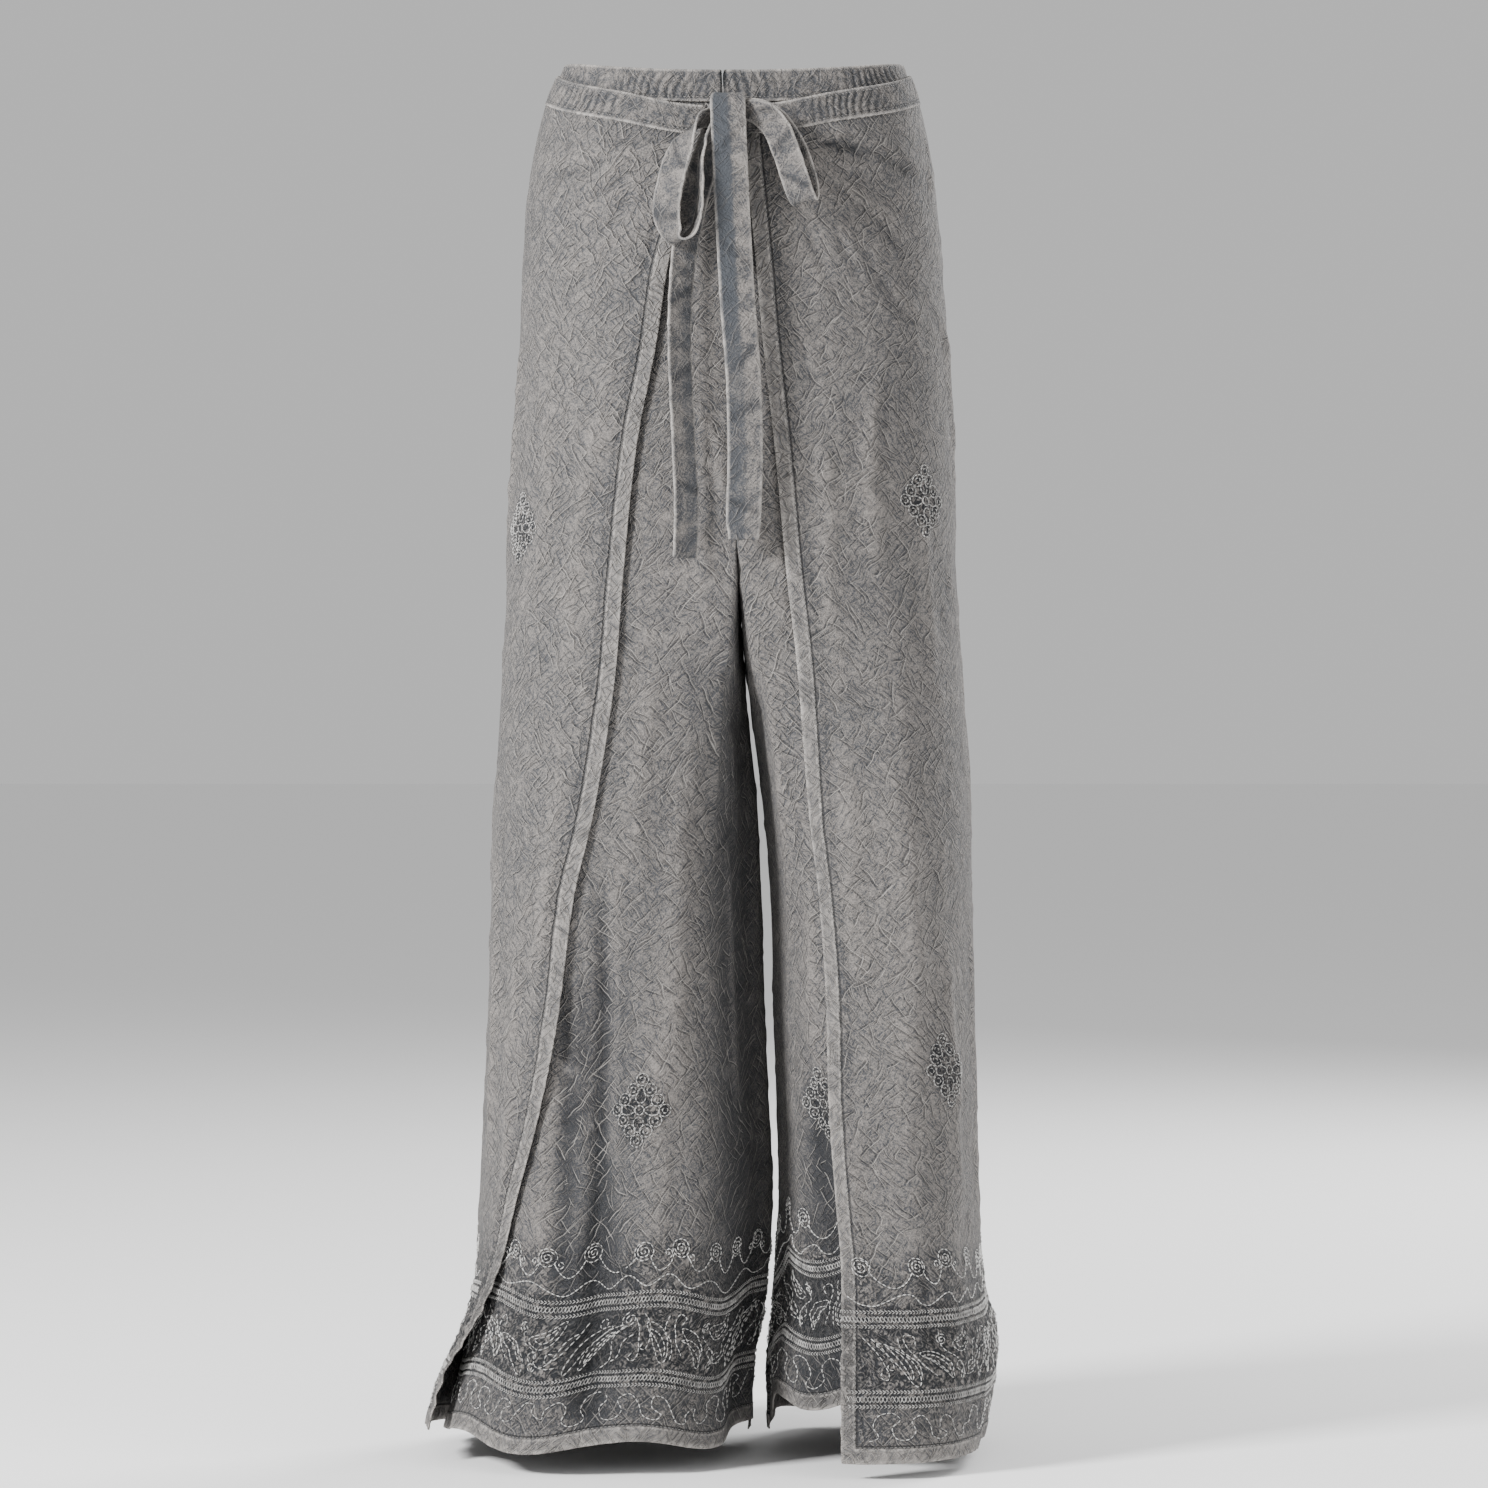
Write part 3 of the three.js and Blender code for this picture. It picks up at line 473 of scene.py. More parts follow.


# %% [markdown]
# This rayon was crushed when wet and stonewashed, so it is creased all over. The creases
# that matter are placed one by one from the photo, in one table for each panel, and uneven on
# purpose. Between them lie many short ones, drawn at random from a fixed seed. All of them
# are stamped on a height map of the panel, 2 mm to a cell, which the cloth then reads.

# %% Creases placed one by one
# first place, first z, second place, second z, half width, height, bow
CREASES = {
    "back_panel_right": {
        "front": [
            (-30, -56, -98, -68, 2.6, -2.2, 5), (-30, -60, -92, -82, 3.2, 1.6, -5),
            (-34, -66, -112, -108, 3.4, 1.8, -7), (-36, -72, -104, -150, 3.0, -1.2, -6),
            (-40, -84, -86, -190, 3.6, 1.5, 4), (-48, -110, -78, -240, 3.2, 1.2, 6),
            (-60, -64, -140, -78, 3.0, 1.3, 4), (-72, -130, -128, -176, 3.4, 1.0, -5),
            (-92, -210, -120, -330, 5.0, 1.4, 8), (-108, -300, -118, -470, 6.0, 1.6, -6),
            (-136, -250, -150, -420, 5.0, 1.2, 5), (-124, -500, -150, -690, 6.5, 1.7, 7),
            (-150, -600, -163, -760, 5.0, 1.2, -5), (-160, -730, -176, -880, 4.6, 1.2, 4),
        ],
        "side": [
            (-20, -180, 22, -420, 6.0, 1.6, 8), (40, -330, 18, -620, 7.0, 2.0, -9),
            (-28, -560, -40, -840, 6.0, 1.8, 7), (64, -520, 82, -900, 7.0, 2.2, 10),
        ],
        "back": [
            (-20, -60, -60, -150, 4.0, 1.3, 5), (-62, -190, -96, -330, 5.5, 1.5, -7),
            (-22, -300, -78, -360, 4.4, 1.8, -8), (-24, -350, -96, -430, 4.6, 1.6, -9),
            (-60, -480, -72, -760, 7.0, 2.2, 9), (-140, -560, -146, -900, 6.0, 1.8, -7),
            (-14, -620, -30, -900, 6.0, 2.0, 6),
        ],
    },
    "back_panel_left": {
        "front": [
            (20, -56, 92, -60, 2.6, 1.8, 4), (22, -60, 104, -78, 2.6, -1.8, -4),
            (22, -66, 126, -142, 3.4, 2.0, -8), (20, -74, 102, -178, 3.2, 1.7, -9),
            (22, -90, 78, -212, 3.2, -1.3, -8), (26, -110, 66, -252, 3.4, 1.4, 6),
            (60, -58, 138, -84, 3.2, 1.4, -5), (84, -120, 140, -196, 3.6, 1.2, 6),
            (62, -270, 70, -440, 5.0, 1.3, -6), (102, -230, 112, -400, 5.5, 1.6, 7),
            (134, -280, 148, -470, 5.0, 1.3, -5), (82, -480, 92, -700, 6.5, 1.6, 7),
            (120, -540, 132, -760, 6.0, 1.8, -6), (92, -760, 100, -940, 5.5, 1.6, 5),
            (150, -640, 160, -860, 5.0, 1.5, -6), (130, -860, 150, -960, 4.5, -1.6, 4),
        ],
        "side": [
            (-30, -160, 10, -390, 6.0, 1.6, -8), (36, -300, 24, -610, 7.0, 2.0, 9),
            (-36, -600, -30, -880, 6.0, 1.8, -7), (70, -500, 92, -900, 7.0, 2.2, -10),
        ],
        "back": [
            (10, -70, 48, -160, 4.0, 1.3, -5), (58, -180, 90, -340, 5.5, 1.5, 7),
            (14, -296, 66, -352, 4.4, 1.8, 8), (16, -352, 92, -440, 4.6, 1.6, 9),
            (78, -470, 84, -770, 7.0, 2.2, -9), (128, -580, 140, -880, 6.0, 1.8, 7),
        ],
    },
    "front_panel_right": {
        "front": [
            (-12, -70, -30, -190, 3.6, 1.2, 4), (-14, -130, -44, -300, 4.2, 1.4, -6),
            (-30, -262, -6, -298, 3.0, 1.8, -5), (-26, -292, -5, -322, 3.0, 1.7, -5),
            (-62, -330, -12, -376, 4.4, 1.8, -9), (-66, -372, -14, -398, 4.0, 1.4, -8),
            (-72, -420, -10, -410, 4.4, 1.2, 7), (-50, -430, -66, -620, 6.0, 1.5, 8),
            (-84, -560, -90, -860, 5.0, 2.4, 4), (-108, -600, -118, -900, 5.5, 2.0, -5),
            (-30, -520, -40, -800, 7.5, 1.8, 9), (-58, -700, -62, -900, 6.0, 1.4, -6),
            (-62, -862, -22, -874, 4.0, 2.4, 5), (-84, -870, -66, -888, 3.4, -1.8, 3),
            (4, -560, 12, -800, 4.0, 1.2, -4), (-130, -700, -150, -960, 6.0, 2.0, 6),
        ],
        "side": [
            (-10, -300, 14, -700, 7.0, 1.6, 8),
        ],
    },
    "front_panel_left": {
        "front": [
            (2, -120, 12, -290, 3.4, 1.2, -4), (0, -290, 16, -330, 3.0, 1.6, 5),
            (4, -330, 36, -390, 4.0, 1.6, 7), (8, -380, 44, -420, 4.0, 1.3, 7),
            (30, -440, 38, -620, 5.0, 1.4, -6), (46, -560, 50, -800, 5.0, 1.5, 6),
            (36, -860, 70, -868, 4.0, 2.2, -4), (48, -700, 52, -840, 4.5, -1.6, 3),
        ],
        "side": [
            (-10, -300, 14, -700, 7.0, 1.6, -8),
        ],
    },
}

# %% Height maps with every crease stamped on
MAP_Z = np.arange(-1030, -10, CELL)


def stamp(heights, columns, a, b, half, height, bow):
    """Adds one bowed ridge from a to b: a bell across it, and a smooth fade at both ends."""
    (ua, za), (ub, zb) = a, b
    length = np.hypot(ub - ua, zb - za) + 1e-6
    reach = 3 * half + abs(bow)
    i0, i1 = np.searchsorted(MAP_Z, (min(za, zb) - reach, max(za, zb) + reach))
    j0, j1 = np.searchsorted(columns, (min(ua, ub) - reach, max(ua, ub) + reach))
    z, u = np.meshgrid(MAP_Z[i0:i1], columns[j0:j1], indexing="ij")
    t = ((u - ua) * (ub - ua) + (z - za) * (zb - za)) / length**2
    aside = ((u - ua) * (zb - za) - (z - za) * (ub - ua)) / length + bow * 4 * t * (1 - t)
    fade = smooth(t / 0.22) * smooth((1 - t) / 0.3) * ((t > 0) & (t < 1))
    heights[i0:i1, j0:j1] += height * fade * bell(aside, half * (0.75 + 0.5 * t))


def crush(panel, seed, count):
    """Short random ridges: most lean 20 to 60 degrees from upright, to one side or the other."""
    dice = np.random.default_rng(seed)
    columns = panel["marks"]
    for _ in range(count):
        u, z = dice.uniform(columns[0], columns[-1]), dice.uniform(-1000, -30)
        lean = np.radians(dice.normal(0, 34) if dice.random() < 0.6 else dice.choice((-58, 52)))
        half_length = dice.uniform(6, 24)
        du, dz = half_length * np.sin(lean), half_length * np.cos(lean)
        height = dice.choice((0.7, 0.9, -0.8, -0.6, 1.2)) * dice.uniform(0.6, 1.1)
        stamp(panel["heights"], columns, (u - du, z + dz), (u + du, z - dz),
              dice.uniform(2.4, 4.4), height, dice.normal(0, 2.5))


WIDER, HIGHER, BESIDE, KNOT_REACH_Z = 1.35, 1.7, -1.6, -135  # the last: where its pull ends
for seed, (name, panel) in enumerate(PANELS.items()):
    panel["heights"] = np.zeros((len(MAP_Z), len(panel["marks"])))
    placed = [(face, *crease) for face, creases in CREASES[name].items() for crease in creases]
    for face, place, z, place2, z2, half, height, bow in placed:
        u, u2 = ruler_at(panel, place, z, face), ruler_at(panel, place2, z2, face)
        drawn = [((u, z), (u2, z2), WIDER * half, HIGHER * height, bow)]
        if z > KNOT_REACH_Z:  # pulled by the knot: a valley beside each ridge
            drawn.append(((u, z - 3), (u2, z2 - 9), WIDER * half, BESIDE * height, bow))
        for crease in drawn:
            stamp(panel["heights"], panel["marks"], *crease)
    crush(panel, 11 + seed, 900 if panel["layer"] == "front" else 1300)
    print(name, "has creases up to", round(panel["heights"].max(), 1), "mm high")

# %% [markdown]
# A hem is cloth turned twice and stitched, so it is a step thicker, and the stitching draws
# it in. It shows as a band about 12 mm wide along every free edge, with small puckers. The
# seam between the legs lies in a shallow groove. These go into the surface itself, because
# their edges catch the light.


# %% The finished surface of a panel
def distances(panel, s, z):
    """Place on the ruler, then the distances from the seam, the free edge and the foot."""
    u = along(panel, s, z)
    return u, u - seam_at(panel, z), edge_at(panel, z) - u, z - hem_height(panel, s)


def hem_relief(u, from_edge, from_foot):
    """A step of 0.7 mm inside the stitch line, and puckers of two uneven wave lengths."""
    at_edge, at_foot = smooth((13 - from_edge) / 2.5), smooth((13 - from_foot) / 2.5)
    ripple_z = np.sin(from_foot / 1.9 + 2.2 * np.sin(from_foot / 11))
    ripple_z = ripple_z * (0.6 + 0.4 * np.sin(from_foot / 37))
    ripple_u = np.sin(u / 2.1 + 2 * np.sin(u / 13)) * (0.6 + 0.4 * np.sin(u / 41))
    wave = np.sin(u / 13 + 1.4 * np.sin(u / 47)) * smooth((70 - from_foot) / 60)
    step = 0.7 * np.maximum(at_edge, at_foot)
    return step + 0.6 * at_edge * ripple_z + 0.7 * at_foot * ripple_u + 1.6 * wave


def band_pucker(u, from_foot):
    """The cloth between the braids, and that below them, is drawn up: crossing ripples."""
    ripples = np.sin(u / 2.6 + from_foot / 3.4) + np.sin(u / 3.3 - from_foot / 2.7 + 1)
    return ripples * (0.6 * between(from_foot, 50, 6, 96, 6) + 0.35 * between(from_foot, 14, 8, 40, 6))


def crease_height(panel, u, z, from_seam, from_edge, from_foot):
    """The height map, faded out at the band, the seam and the stitched hems."""
    calm = smooth((from_foot - 2) / 30) * smooth(from_seam / 9) * smooth((from_edge + 4) / 18)
    return look_up(panel["heights"], MAP_Z, panel["marks"], z, u) * calm * smooth((-46 - z) / 14)


def surface(panel, s, z, out=0.0):
    """Points in mm of a panel's outer face at share s and height z, moved outwards by out."""
    turn, x, y, fold = on_leg(panel, s, z)
    u, from_seam, from_edge, from_foot = distances(panel, s, z)
    height = rest_offset(panel, turn, z) + fold
    height = height + crease_height(panel, u, z, from_seam, from_edge, from_foot)
    height = height + hem_relief(u, from_edge, from_foot) + band_pucker(u, from_foot)
    height = height - 1.1 * bell(from_seam, 2.2) + out
    nx, ny = outward(panel["leg"], turn, z)
    return zipped(x + nx * height, y + ny * height, z)


# %% [markdown]
# A cloth wall is a closed skin: the outer face, the same face moved in by the thickness, and
# a rounded rim that joins them. The rim's extra row makes a soft edge, which is how a turned
# hem looks. A Solidify modifier would do much the same, but with a sharp rim.


# %% From a grid of points to a closed piece of cloth
PANEL_WALL, BAND_WALL, HIDDEN_TIE_WALL, TIE_WALL = 1.2, 2.2, 1.8, 1.6


def grid_normals(points):
    """Unit normals of a grid: the cross product of the steps along its rows and columns."""
    return unit(np.cross(np.gradient(points, axis=1), np.gradient(points, axis=0)))


def make_piece(name, points, faces, slot, material, uv=None, values=None):
    """Puts points (mm) and faces into a mesh with a map, per-point values and smooth shading."""
    mesh = bpy.data.meshes.new(name)
    mesh.from_pydata(np.asarray(points) * MM, [], faces)
    mesh.polygons.foreach_set("use_smooth", np.ones(len(mesh.polygons), dtype=bool))
    corner = np.empty(len(mesh.loops), dtype=np.int32)
    mesh.loops.foreach_get("vertex_index", corner)
    if uv is not None:
        layer = mesh.uv_layers.new(name="cloth")
        layer.data.foreach_set("uv", (np.asarray(uv)[corner] * MM).astype(np.float32).ravel())
    for key, value in (values or {}).items():
        attribute = mesh.attributes.new(key, "FLOAT", "POINT")
        attribute.data.foreach_set("value", np.asarray(value, dtype=np.float32).ravel())
    mesh.update()
    piece = put(name, mesh)
    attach(piece, "root")
    mesh.materials.append(material)
    return piece


def cloth_wall(outer, thickness, inwards):
    """Outer grid, inner grid, and a rim row 0.4 thicknesses beyond the edge, as one skin."""
    rows, columns = outer.shape[:2]
    inner = outer + grid_normals(outer) * thickness * inwards
    index = np.arange(rows * columns).reshape(rows, columns)

    def quads(k, flip):
        a, b, c, d = k[:-1, :-1], k[:-1, 1:], k[1:, 1:], k[1:, :-1]
        order = (a, d, c, b) if flip else (a, b, c, d)
        return zipped(*order).reshape(-1, 4)

    edge = np.concatenate([index[0, :-1], index[:-1, -1], index[-1, :0:-1], index[:0:-1, 0]])
    behind = np.concatenate([index[1, :-1], index[:-1, -2], index[-2, :0:-1], index[:0:-1, 1]])
    flat_outer, flat_inner = outer.reshape(-1, 3), inner.reshape(-1, 3)
    away = unit(flat_outer[edge] - flat_outer[behind])
    rim = (flat_outer[edge] + flat_inner[edge]) / 2 + away * thickness * 0.4
    size = rows * columns
    r, following = 2 * size + np.arange(len(edge)), 2 * size + np.roll(np.arange(len(edge)), -1)
    e, e2 = edge, np.roll(edge, -1)
    upper = zipped(e2, e, r, following)
    lower = zipped(following, r, e + size, e2 + size)
    flip = inwards > 0
    faces = np.concatenate([quads(index, flip), quads(index + size, not flip)]
                           + [q[:, ::-1] if flip else q for q in (upper, lower)])
    return np.concatenate([flat_outer, flat_inner, rim]), faces, edge


def wall_values(value, edge):
    """A per-point value for the outer grid, copied to the inner grid and the rim."""
    flat = np.asarray(value).reshape(-1, *np.shape(value)[2:])
    return np.concatenate([flat, flat, flat[edge]])


def make_cloth(name, outer, thickness, inwards, u, v, slot, material, **values):
    """A wall over the solid of this name, with its flat map (u, v) and its per-point values."""
    verts, faces, edge = cloth_wall(outer, thickness, inwards)
    values = {key: wall_values(value + 0 * u, edge) for key, value in values.items()}
    uv = wall_values(zipped(u, v), edge)
    piece = make_piece(f"{name}_cloth", verts, faces, slot, material, uv, values)
    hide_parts(name)
    return piece


# %% [markdown]
# The colour of stonewashed rayon comes from its surface: the dye is worn to a warm grey on
# the crests of the creases and stays blue-grey in the hollows. Painted shade darkens those
# hollows further, with the deep folds and the gathers' valleys at the knot, and lightens the
# gathers' ridges. The fine creases are short straight strokes that cross, like crushed paper.
# Each cell of a Voronoi texture holds one stroke, and a slow noise says which of two slants
# the strokes of a place have. Six such patterns of different size lie over one another. Each
# stroke is a light line, worn pale and partly a painted highlight, with a dark foot beside it
# that is a painted shadow, and the same strokes drive the colour and the bump.


# %% A small helper for node trees
class Nodes:
    """Adds nodes to a material in one call each; inputs that are sockets get linked."""

    def __init__(self, name):
        self.material = bpy.data.materials.new(name)
        self.material.use_nodes = True
        self.tree = self.material.node_tree
        self.tree.nodes.clear()

    def add(self, kind, inputs=None, **settings):
        node = self.tree.nodes.new(kind)
        for key, value in settings.items():
            setattr(node, key, value)
        for key, value in (inputs or {}).items():
            if isinstance(value, bpy.types.NodeSocket):
                self.tree.links.new(value, node.inputs[key])
            else:
                node.inputs[key].default_value = value
        return node

    def math(self, operation, a, b=0.0, third=0.0, clamp=False):
        """One Math node's output."""
        inputs = {0: a, 1: b, 2: third}
        return self.add("ShaderNodeMath", inputs, operation=operation, use_clamp=clamp).outputs[0]

    def times(self, a, b, clamp=False):
        """a x b."""
        return self.math("MULTIPLY", a, b, clamp=clamp)

    def total(self, start, *terms):
        """start, plus each term's value x its factor."""
        for value, factor in terms:
            start = self.math("MULTIPLY_ADD", value, factor, start)
        return start

    def vector(self, operation, a, b):
        """One Vector Math node's output; b is a number for SCALE."""
        inputs = {0: a, "Scale" if operation == "SCALE" else 1: b}
        return self.add("ShaderNodeVectorMath", inputs, operation=operation).outputs[0]

    def parts(self, vector):
        """The three numbers of a vector or a colour."""
        return self.add("ShaderNodeSeparateXYZ", {0: vector}).outputs

    def noise(self, at, scale, detail, output="Fac", **more):
        """A noise texture's output."""
        inputs = {"Vector": at, "Scale": scale, "Detail": detail, **more}
        return self.add("ShaderNodeTexNoise", inputs).outputs[output]

    def ramp(self, value, low, high, bottom=0.0, top=1.0):
        """From bottom at low to top at high, smooth between."""
        inputs = {"Value": value, "From Min": low, "From Max": high, "To Min": bottom, "To Max": top}
        return self.add("ShaderNodeMapRange", inputs, interpolation_type="SMOOTHSTEP").outputs["Result"]

    def near(self, value, place, full, none):
        """1 where value is within full of place, and 0 further than none from it."""
        gap = self.math("SUBTRACT", value, place) if place else value
        return self.ramp(self.math("ABSOLUTE", gap), full, none, 1.0, 0.0)

    def attribute(self, name):
        """A value kept on the mesh's points."""
        return self.add("ShaderNodeAttribute", attribute_name=name).outputs["Fac"]

    def coats(self, base, *coats):
        """The base colour with each coat's colour mixed over it by the coat's factor."""
        for factor, colour in coats:
            base = self.add("ShaderNodeMix", {0: factor, 6: base, 7: colour}, data_type="RGBA").outputs[2]
        return base

    def bump(self, strength, distance, height, **more):
        """A bump node's normal."""
        inputs = {"Strength": strength, "Distance": distance, "Height": height, **more}
        return self.add("ShaderNodeBump", inputs).outputs[0]

    def finish(self, inputs):
        """Ends the tree in a Principled surface and returns the material."""
        shader = self.add("ShaderNodeBsdfPrincipled", inputs)
        self.add("ShaderNodeOutputMaterial", {"Surface": shader.outputs[0]})
        return self.material


# %% The crushed rayon
WORN, TAUPE, GREY = (0.36, 0.338, 0.316, 1), (0.190, 0.174, 0.162, 1), (0.118, 0.111, 0.106, 1)
BLUE, NIGHT = (0.052, 0.054, 0.059, 1), (0.009, 0.010, 0.012, 1)
# The stitched groove is painted dark as shade, and the crest before it is painted light as a highlight.
HEM_SEAM, HEM_RIDGE = 11.6, 9.6  # mm from the edge: the stitched groove, and the crest before it


def strokes(n, at, field, cell, slants, stretch, seed, wide, share):
    """
    One straight stroke in most Voronoi cells, as (light line, painted shadow foot on its right).

    The field says which of two slants the strokes of a patch have. Each stroke leans a little
    its own way, by the cell's random colour, and fades at its ends.
    """
    one, other = np.radians(slants)
    angle = n.math("MULTIPLY_ADD", n.math("GREATER_THAN", field, 0.5), one - other, other)
    turned = n.add("ShaderNodeVectorRotate", {"Vector": at, "Angle": angle}, rotation_type="Z_AXIS")
    turned = n.add("ShaderNodeMapping", {
        "Vector": turned.outputs[0], "Location": (seed, seed * 0.6, 0), "Scale": (1.0, stretch, 1.0),
    }).outputs[0]
    cells = n.add("ShaderNodeTexVoronoi", {"Vector": turned, "Scale": 1 / cell, "Randomness": 1.0},
                  feature="F1", voronoi_dimensions="2D").outputs
    local, dice = n.parts(n.vector("SUBTRACT", turned, cells["Position"])), n.parts(cells["Color"])
    lean = n.times(n.math("SUBTRACT", dice[0], 0.5), 1.35)
    across = n.total(local[0], (local[1], lean))
    there = n.near(local[1], 0, 0.2 * cell, 0.5 * cell)
    there = n.times(there, n.ramp(dice[1], 0.9 - share, 1.1 - share))
    # The foot is a painted shadow: a dark line beside each light stroke, always on its right.
    line, foot = n.near(across, 0, 0.25 * wide, wide), n.near(across, 2 * wide, 0.3 * wide, 2 * wide)
    return n.times(line, there), n.times(foot, there)


def nets(n, at, fields, strength, table):
    """The highest of several stroke patterns; each row's first entry names its field."""
    # The feet are the strokes' painted shadows.
    line, foot = 0.0, 0.0
    for which, *row in table:
        more = strokes(n, at, fields[which], *row)
        line, foot = n.math("MAXIMUM", more[0], line), n.math("MAXIMUM", more[1], foot)
    return n.times(line, strength), n.times(foot, strength)


def rayon(name, blue=0.0, blotch=0.0, offset=0.0, slant=1, fine=1.0, drawn=1.0, stain=NIGHT):
    """
    Warm worn crests over blue-grey hollows, with painted shade in the hollows: blue shifts it
    cooler, blotch makes it patchy, fine is the strokes' strength, drawn that of the puckers in
    the dark stripe and of their painted highlights, and stain the colour of the over-dyed
    places and of the painted shade lines that share their value.
    """
    n = Nodes(name)
    uv = n.add("ShaderNodeUVMap", uv_map="cloth").outputs["UV"]
    moved = n.vector("ADD", uv, (offset, offset * 0.7, 0))
    wobble = n.vector("SUBTRACT", n.noise(moved, 70.0, 1.0, "Color"), (0.5, 0.5, 0.5))
    bent = n.vector("ADD", moved, n.vector("SCALE", wobble, 0.006))
    # The dark value holds the over-dyed ground and painted shade lines at the band seam, the band's stitch
    # groove and the hem step. The crest value holds worn crests and painted shade in the hollows.
    dark, worn, crest, hem, rim = [n.attribute(key) for key in ("dark", "worn", "crest", "hem", "rim")]
    fields = n.parts(n.noise(moved, 20.0, 1.0, "Color"))
    # Each stroke's light line is partly worn pale and partly a painted highlight; its foot is a painted
    # shadow on its right, as if lit from the upper left.
    line, foot = nets(n, bent, fields, fine, [  # field, cell, slants, stretch, seed, width, share
        (0, 0.0155, (38 * slant, -42 * slant), 0.42, 6.3, 0.00058, 0.7),
        (1, 0.0112, (30 * slant, -34 * slant), 0.42, 1.3, 0.00052, 0.8),
        (2, 0.0080, (46 * slant, -52 * slant), 0.45, 7.7, 0.00046, 0.8),
    ])
    # The small strokes' pits are painted shadows beside them.
    small, small_painted_shadow = nets(n, bent, fields, n.math("ADD", hem, fine), [
        (1, 0.0060, (38, -36), 0.45, 2.4, 0.00045, 0.85), (0, 0.0052, (-50, 44), 0.45, 5.8, 0.00045, 0.85),
        (2, 0.0072, (42 * slant, -38 * slant), 0.4, 2.9, 0.00042, 0.85),
    ])
    speck, crumple = n.noise(uv, 800.0, 2.0), n.noise(bent, 330.0, 3.0, Roughness=0.65)
    large, patchy = n.noise(moved, 14.0, 3.0), n.noise(bent, 75.0, 3.0)
    swirl = n.ramp(n.noise(moved, 250.0, 2.0, Distortion=1.4), 0.40, 0.60)
    # seam is a painted shade line in the hem's stitched groove, and ridge a painted highlight on the crest
    # between it and the edge.
    seam, ridge = n.near(rim, HEM_SEAM, 0.3, 1.3), n.near(rim, HEM_RIDGE, 0.2, 1.4)
    # The puckers in the dark stripe: lighter on their crests as a painted highlight, and raised in the bump.
    puckers_with_highlight = n.times(dark, n.times(swirl, drawn))

    # The tone adds the crest value: worn crests lighter, and painted shade in the hollows. The small pits
    # are painted shadows, and the dark value brings the over-dyed ground and its painted shade lines.
    tone = n.total(
        0.465 - 0.14 * blue,
        (n.ramp(crumple, 0.36, 0.64, -0.19, 0.19), 1.0), (n.ramp(large, 0.3, 0.7, -0.07, 0.07), 1.0),
        (n.ramp(speck, 0.36, 0.64, -0.26, 0.26), 1.0),
        (n.ramp(patchy, 0.32, 0.68, -0.08 - blotch, 0.08 + blotch), 1.0),
        (crest, 0.22), (small, 0.4), (small_painted_shadow, -0.4), (dark, -0.9), (puckers_with_highlight, 1.1),
    )
    deep = n.math("SUBTRACT", n.times(dark, 0.85), n.times(puckers_with_highlight, 0.75), clamp=True)
    # In the coats, the crest value's hollows and the strokes' dark feet are painted shade in NIGHT, and the
    # stroke lines are worn pale and partly a painted highlight.
    base = n.coats(
        BLUE, (n.ramp(tone, 0.0, 0.5), GREY), (n.ramp(tone, 0.42, 1.0), TAUPE), (deep, stain),
        (n.times(crest, -0.45, clamp=True), NIGHT), (n.times(foot, 0.52), NIGHT),
        (n.times(line, n.total(0.58, (dark, -0.42))), WORN),
        (n.times(worn, n.ramp(patchy, 0.3, 0.62, 0.35, 1.0)), WORN),
        (n.times(ridge, n.ramp(crumple, 0.4, 0.6, 0.1, 0.6)), WORN), (n.times(seam, 0.7), NIGHT),
    )
    height = n.total(
        0.0, (line, 0.6), (crumple, 0.9), (speck, 0.35), (patchy, 1.6), (puckers_with_highlight, 1.3),
        (seam, -0.8), (small, 0.5), (foot, -0.2), (small_painted_shadow, -0.2),
    )
    normal = n.bump(0.15, 0.0003, n.noise(uv, 1300.0, 1.0), Normal=n.bump(1.0, 0.0014, height))
    return n.finish({
        "Base Color": base, "Roughness": 0.8, "Normal": normal, "Sheen Weight": 0.06,
        "Sheen Roughness": 0.45, "Specular IOR Level": 0.2,
    })


PANEL_CLOTH = {name: rayon(f"rayon_{name}", offset=0.37 * k, slant=panel["leg"]["side"])
               for k, (name, panel) in enumerate(PANELS.items())}
BAND_CLOTH = rayon("rayon_band", blue=0.35, blotch=0.2, offset=1.9, fine=0.5)
TIE_CLOTH = rayon("rayon_tie", blue=0.3, blotch=0.2, offset=2.6, fine=0.45, drawn=0.15,
                  stain=(0.050, 0.056, 0.065, 1))

# %% [markdown]
# Now the four panels. The grid is closer along the free edge and the foot, where the hem's
# step and puckers are. The dark over-dyed stripe between the two braids is a value on the
# points, so it follows the hem wherever that goes. The medallions have a dark ground too.
# The same value carries a painted shadow line just inside the step of each free edge's hem.

# %% Where the embroidery goes
# heights above the hem
LOW_BRAID, HIGH_BRAID, MEANDER_HEIGHT, VINE_HEIGHT, ROSETTE_HEIGHT = 45, 101, 26, 114.5, 139
BORDER_MIDDLE, BORDER_HALF = (LOW_BRAID + HIGH_BRAID) / 2, 20.5
MEDALLIONS = {  # face, x, z
    "front_panel_right": [("front", -68, -763)],
    "front_panel_left": [("front", 57, -760)],
    "back_panel_right": [("front", -157, -342), ("back", -92, -352), ("back", -78, -768)],
    "back_panel_left": [("front", 137, -323), ("front", 152, -735), ("back", 88, -336), ("back", 84, -752)],
}
MEDALLION_HALF = (23, 27)


def rosette_places(first, last, seed):
    """Where the vine's rosettes sit above the braids: place, height, and whether there are three."""
    dice, places, u = np.random.default_rng(seed + 50), [], first + 14
    while u < last - 10:
        places.append((u, ROSETTE_HEIGHT + dice.normal(0, 2.6), dice.random() < 0.35))
        u += dice.uniform(25, 44)
    return places


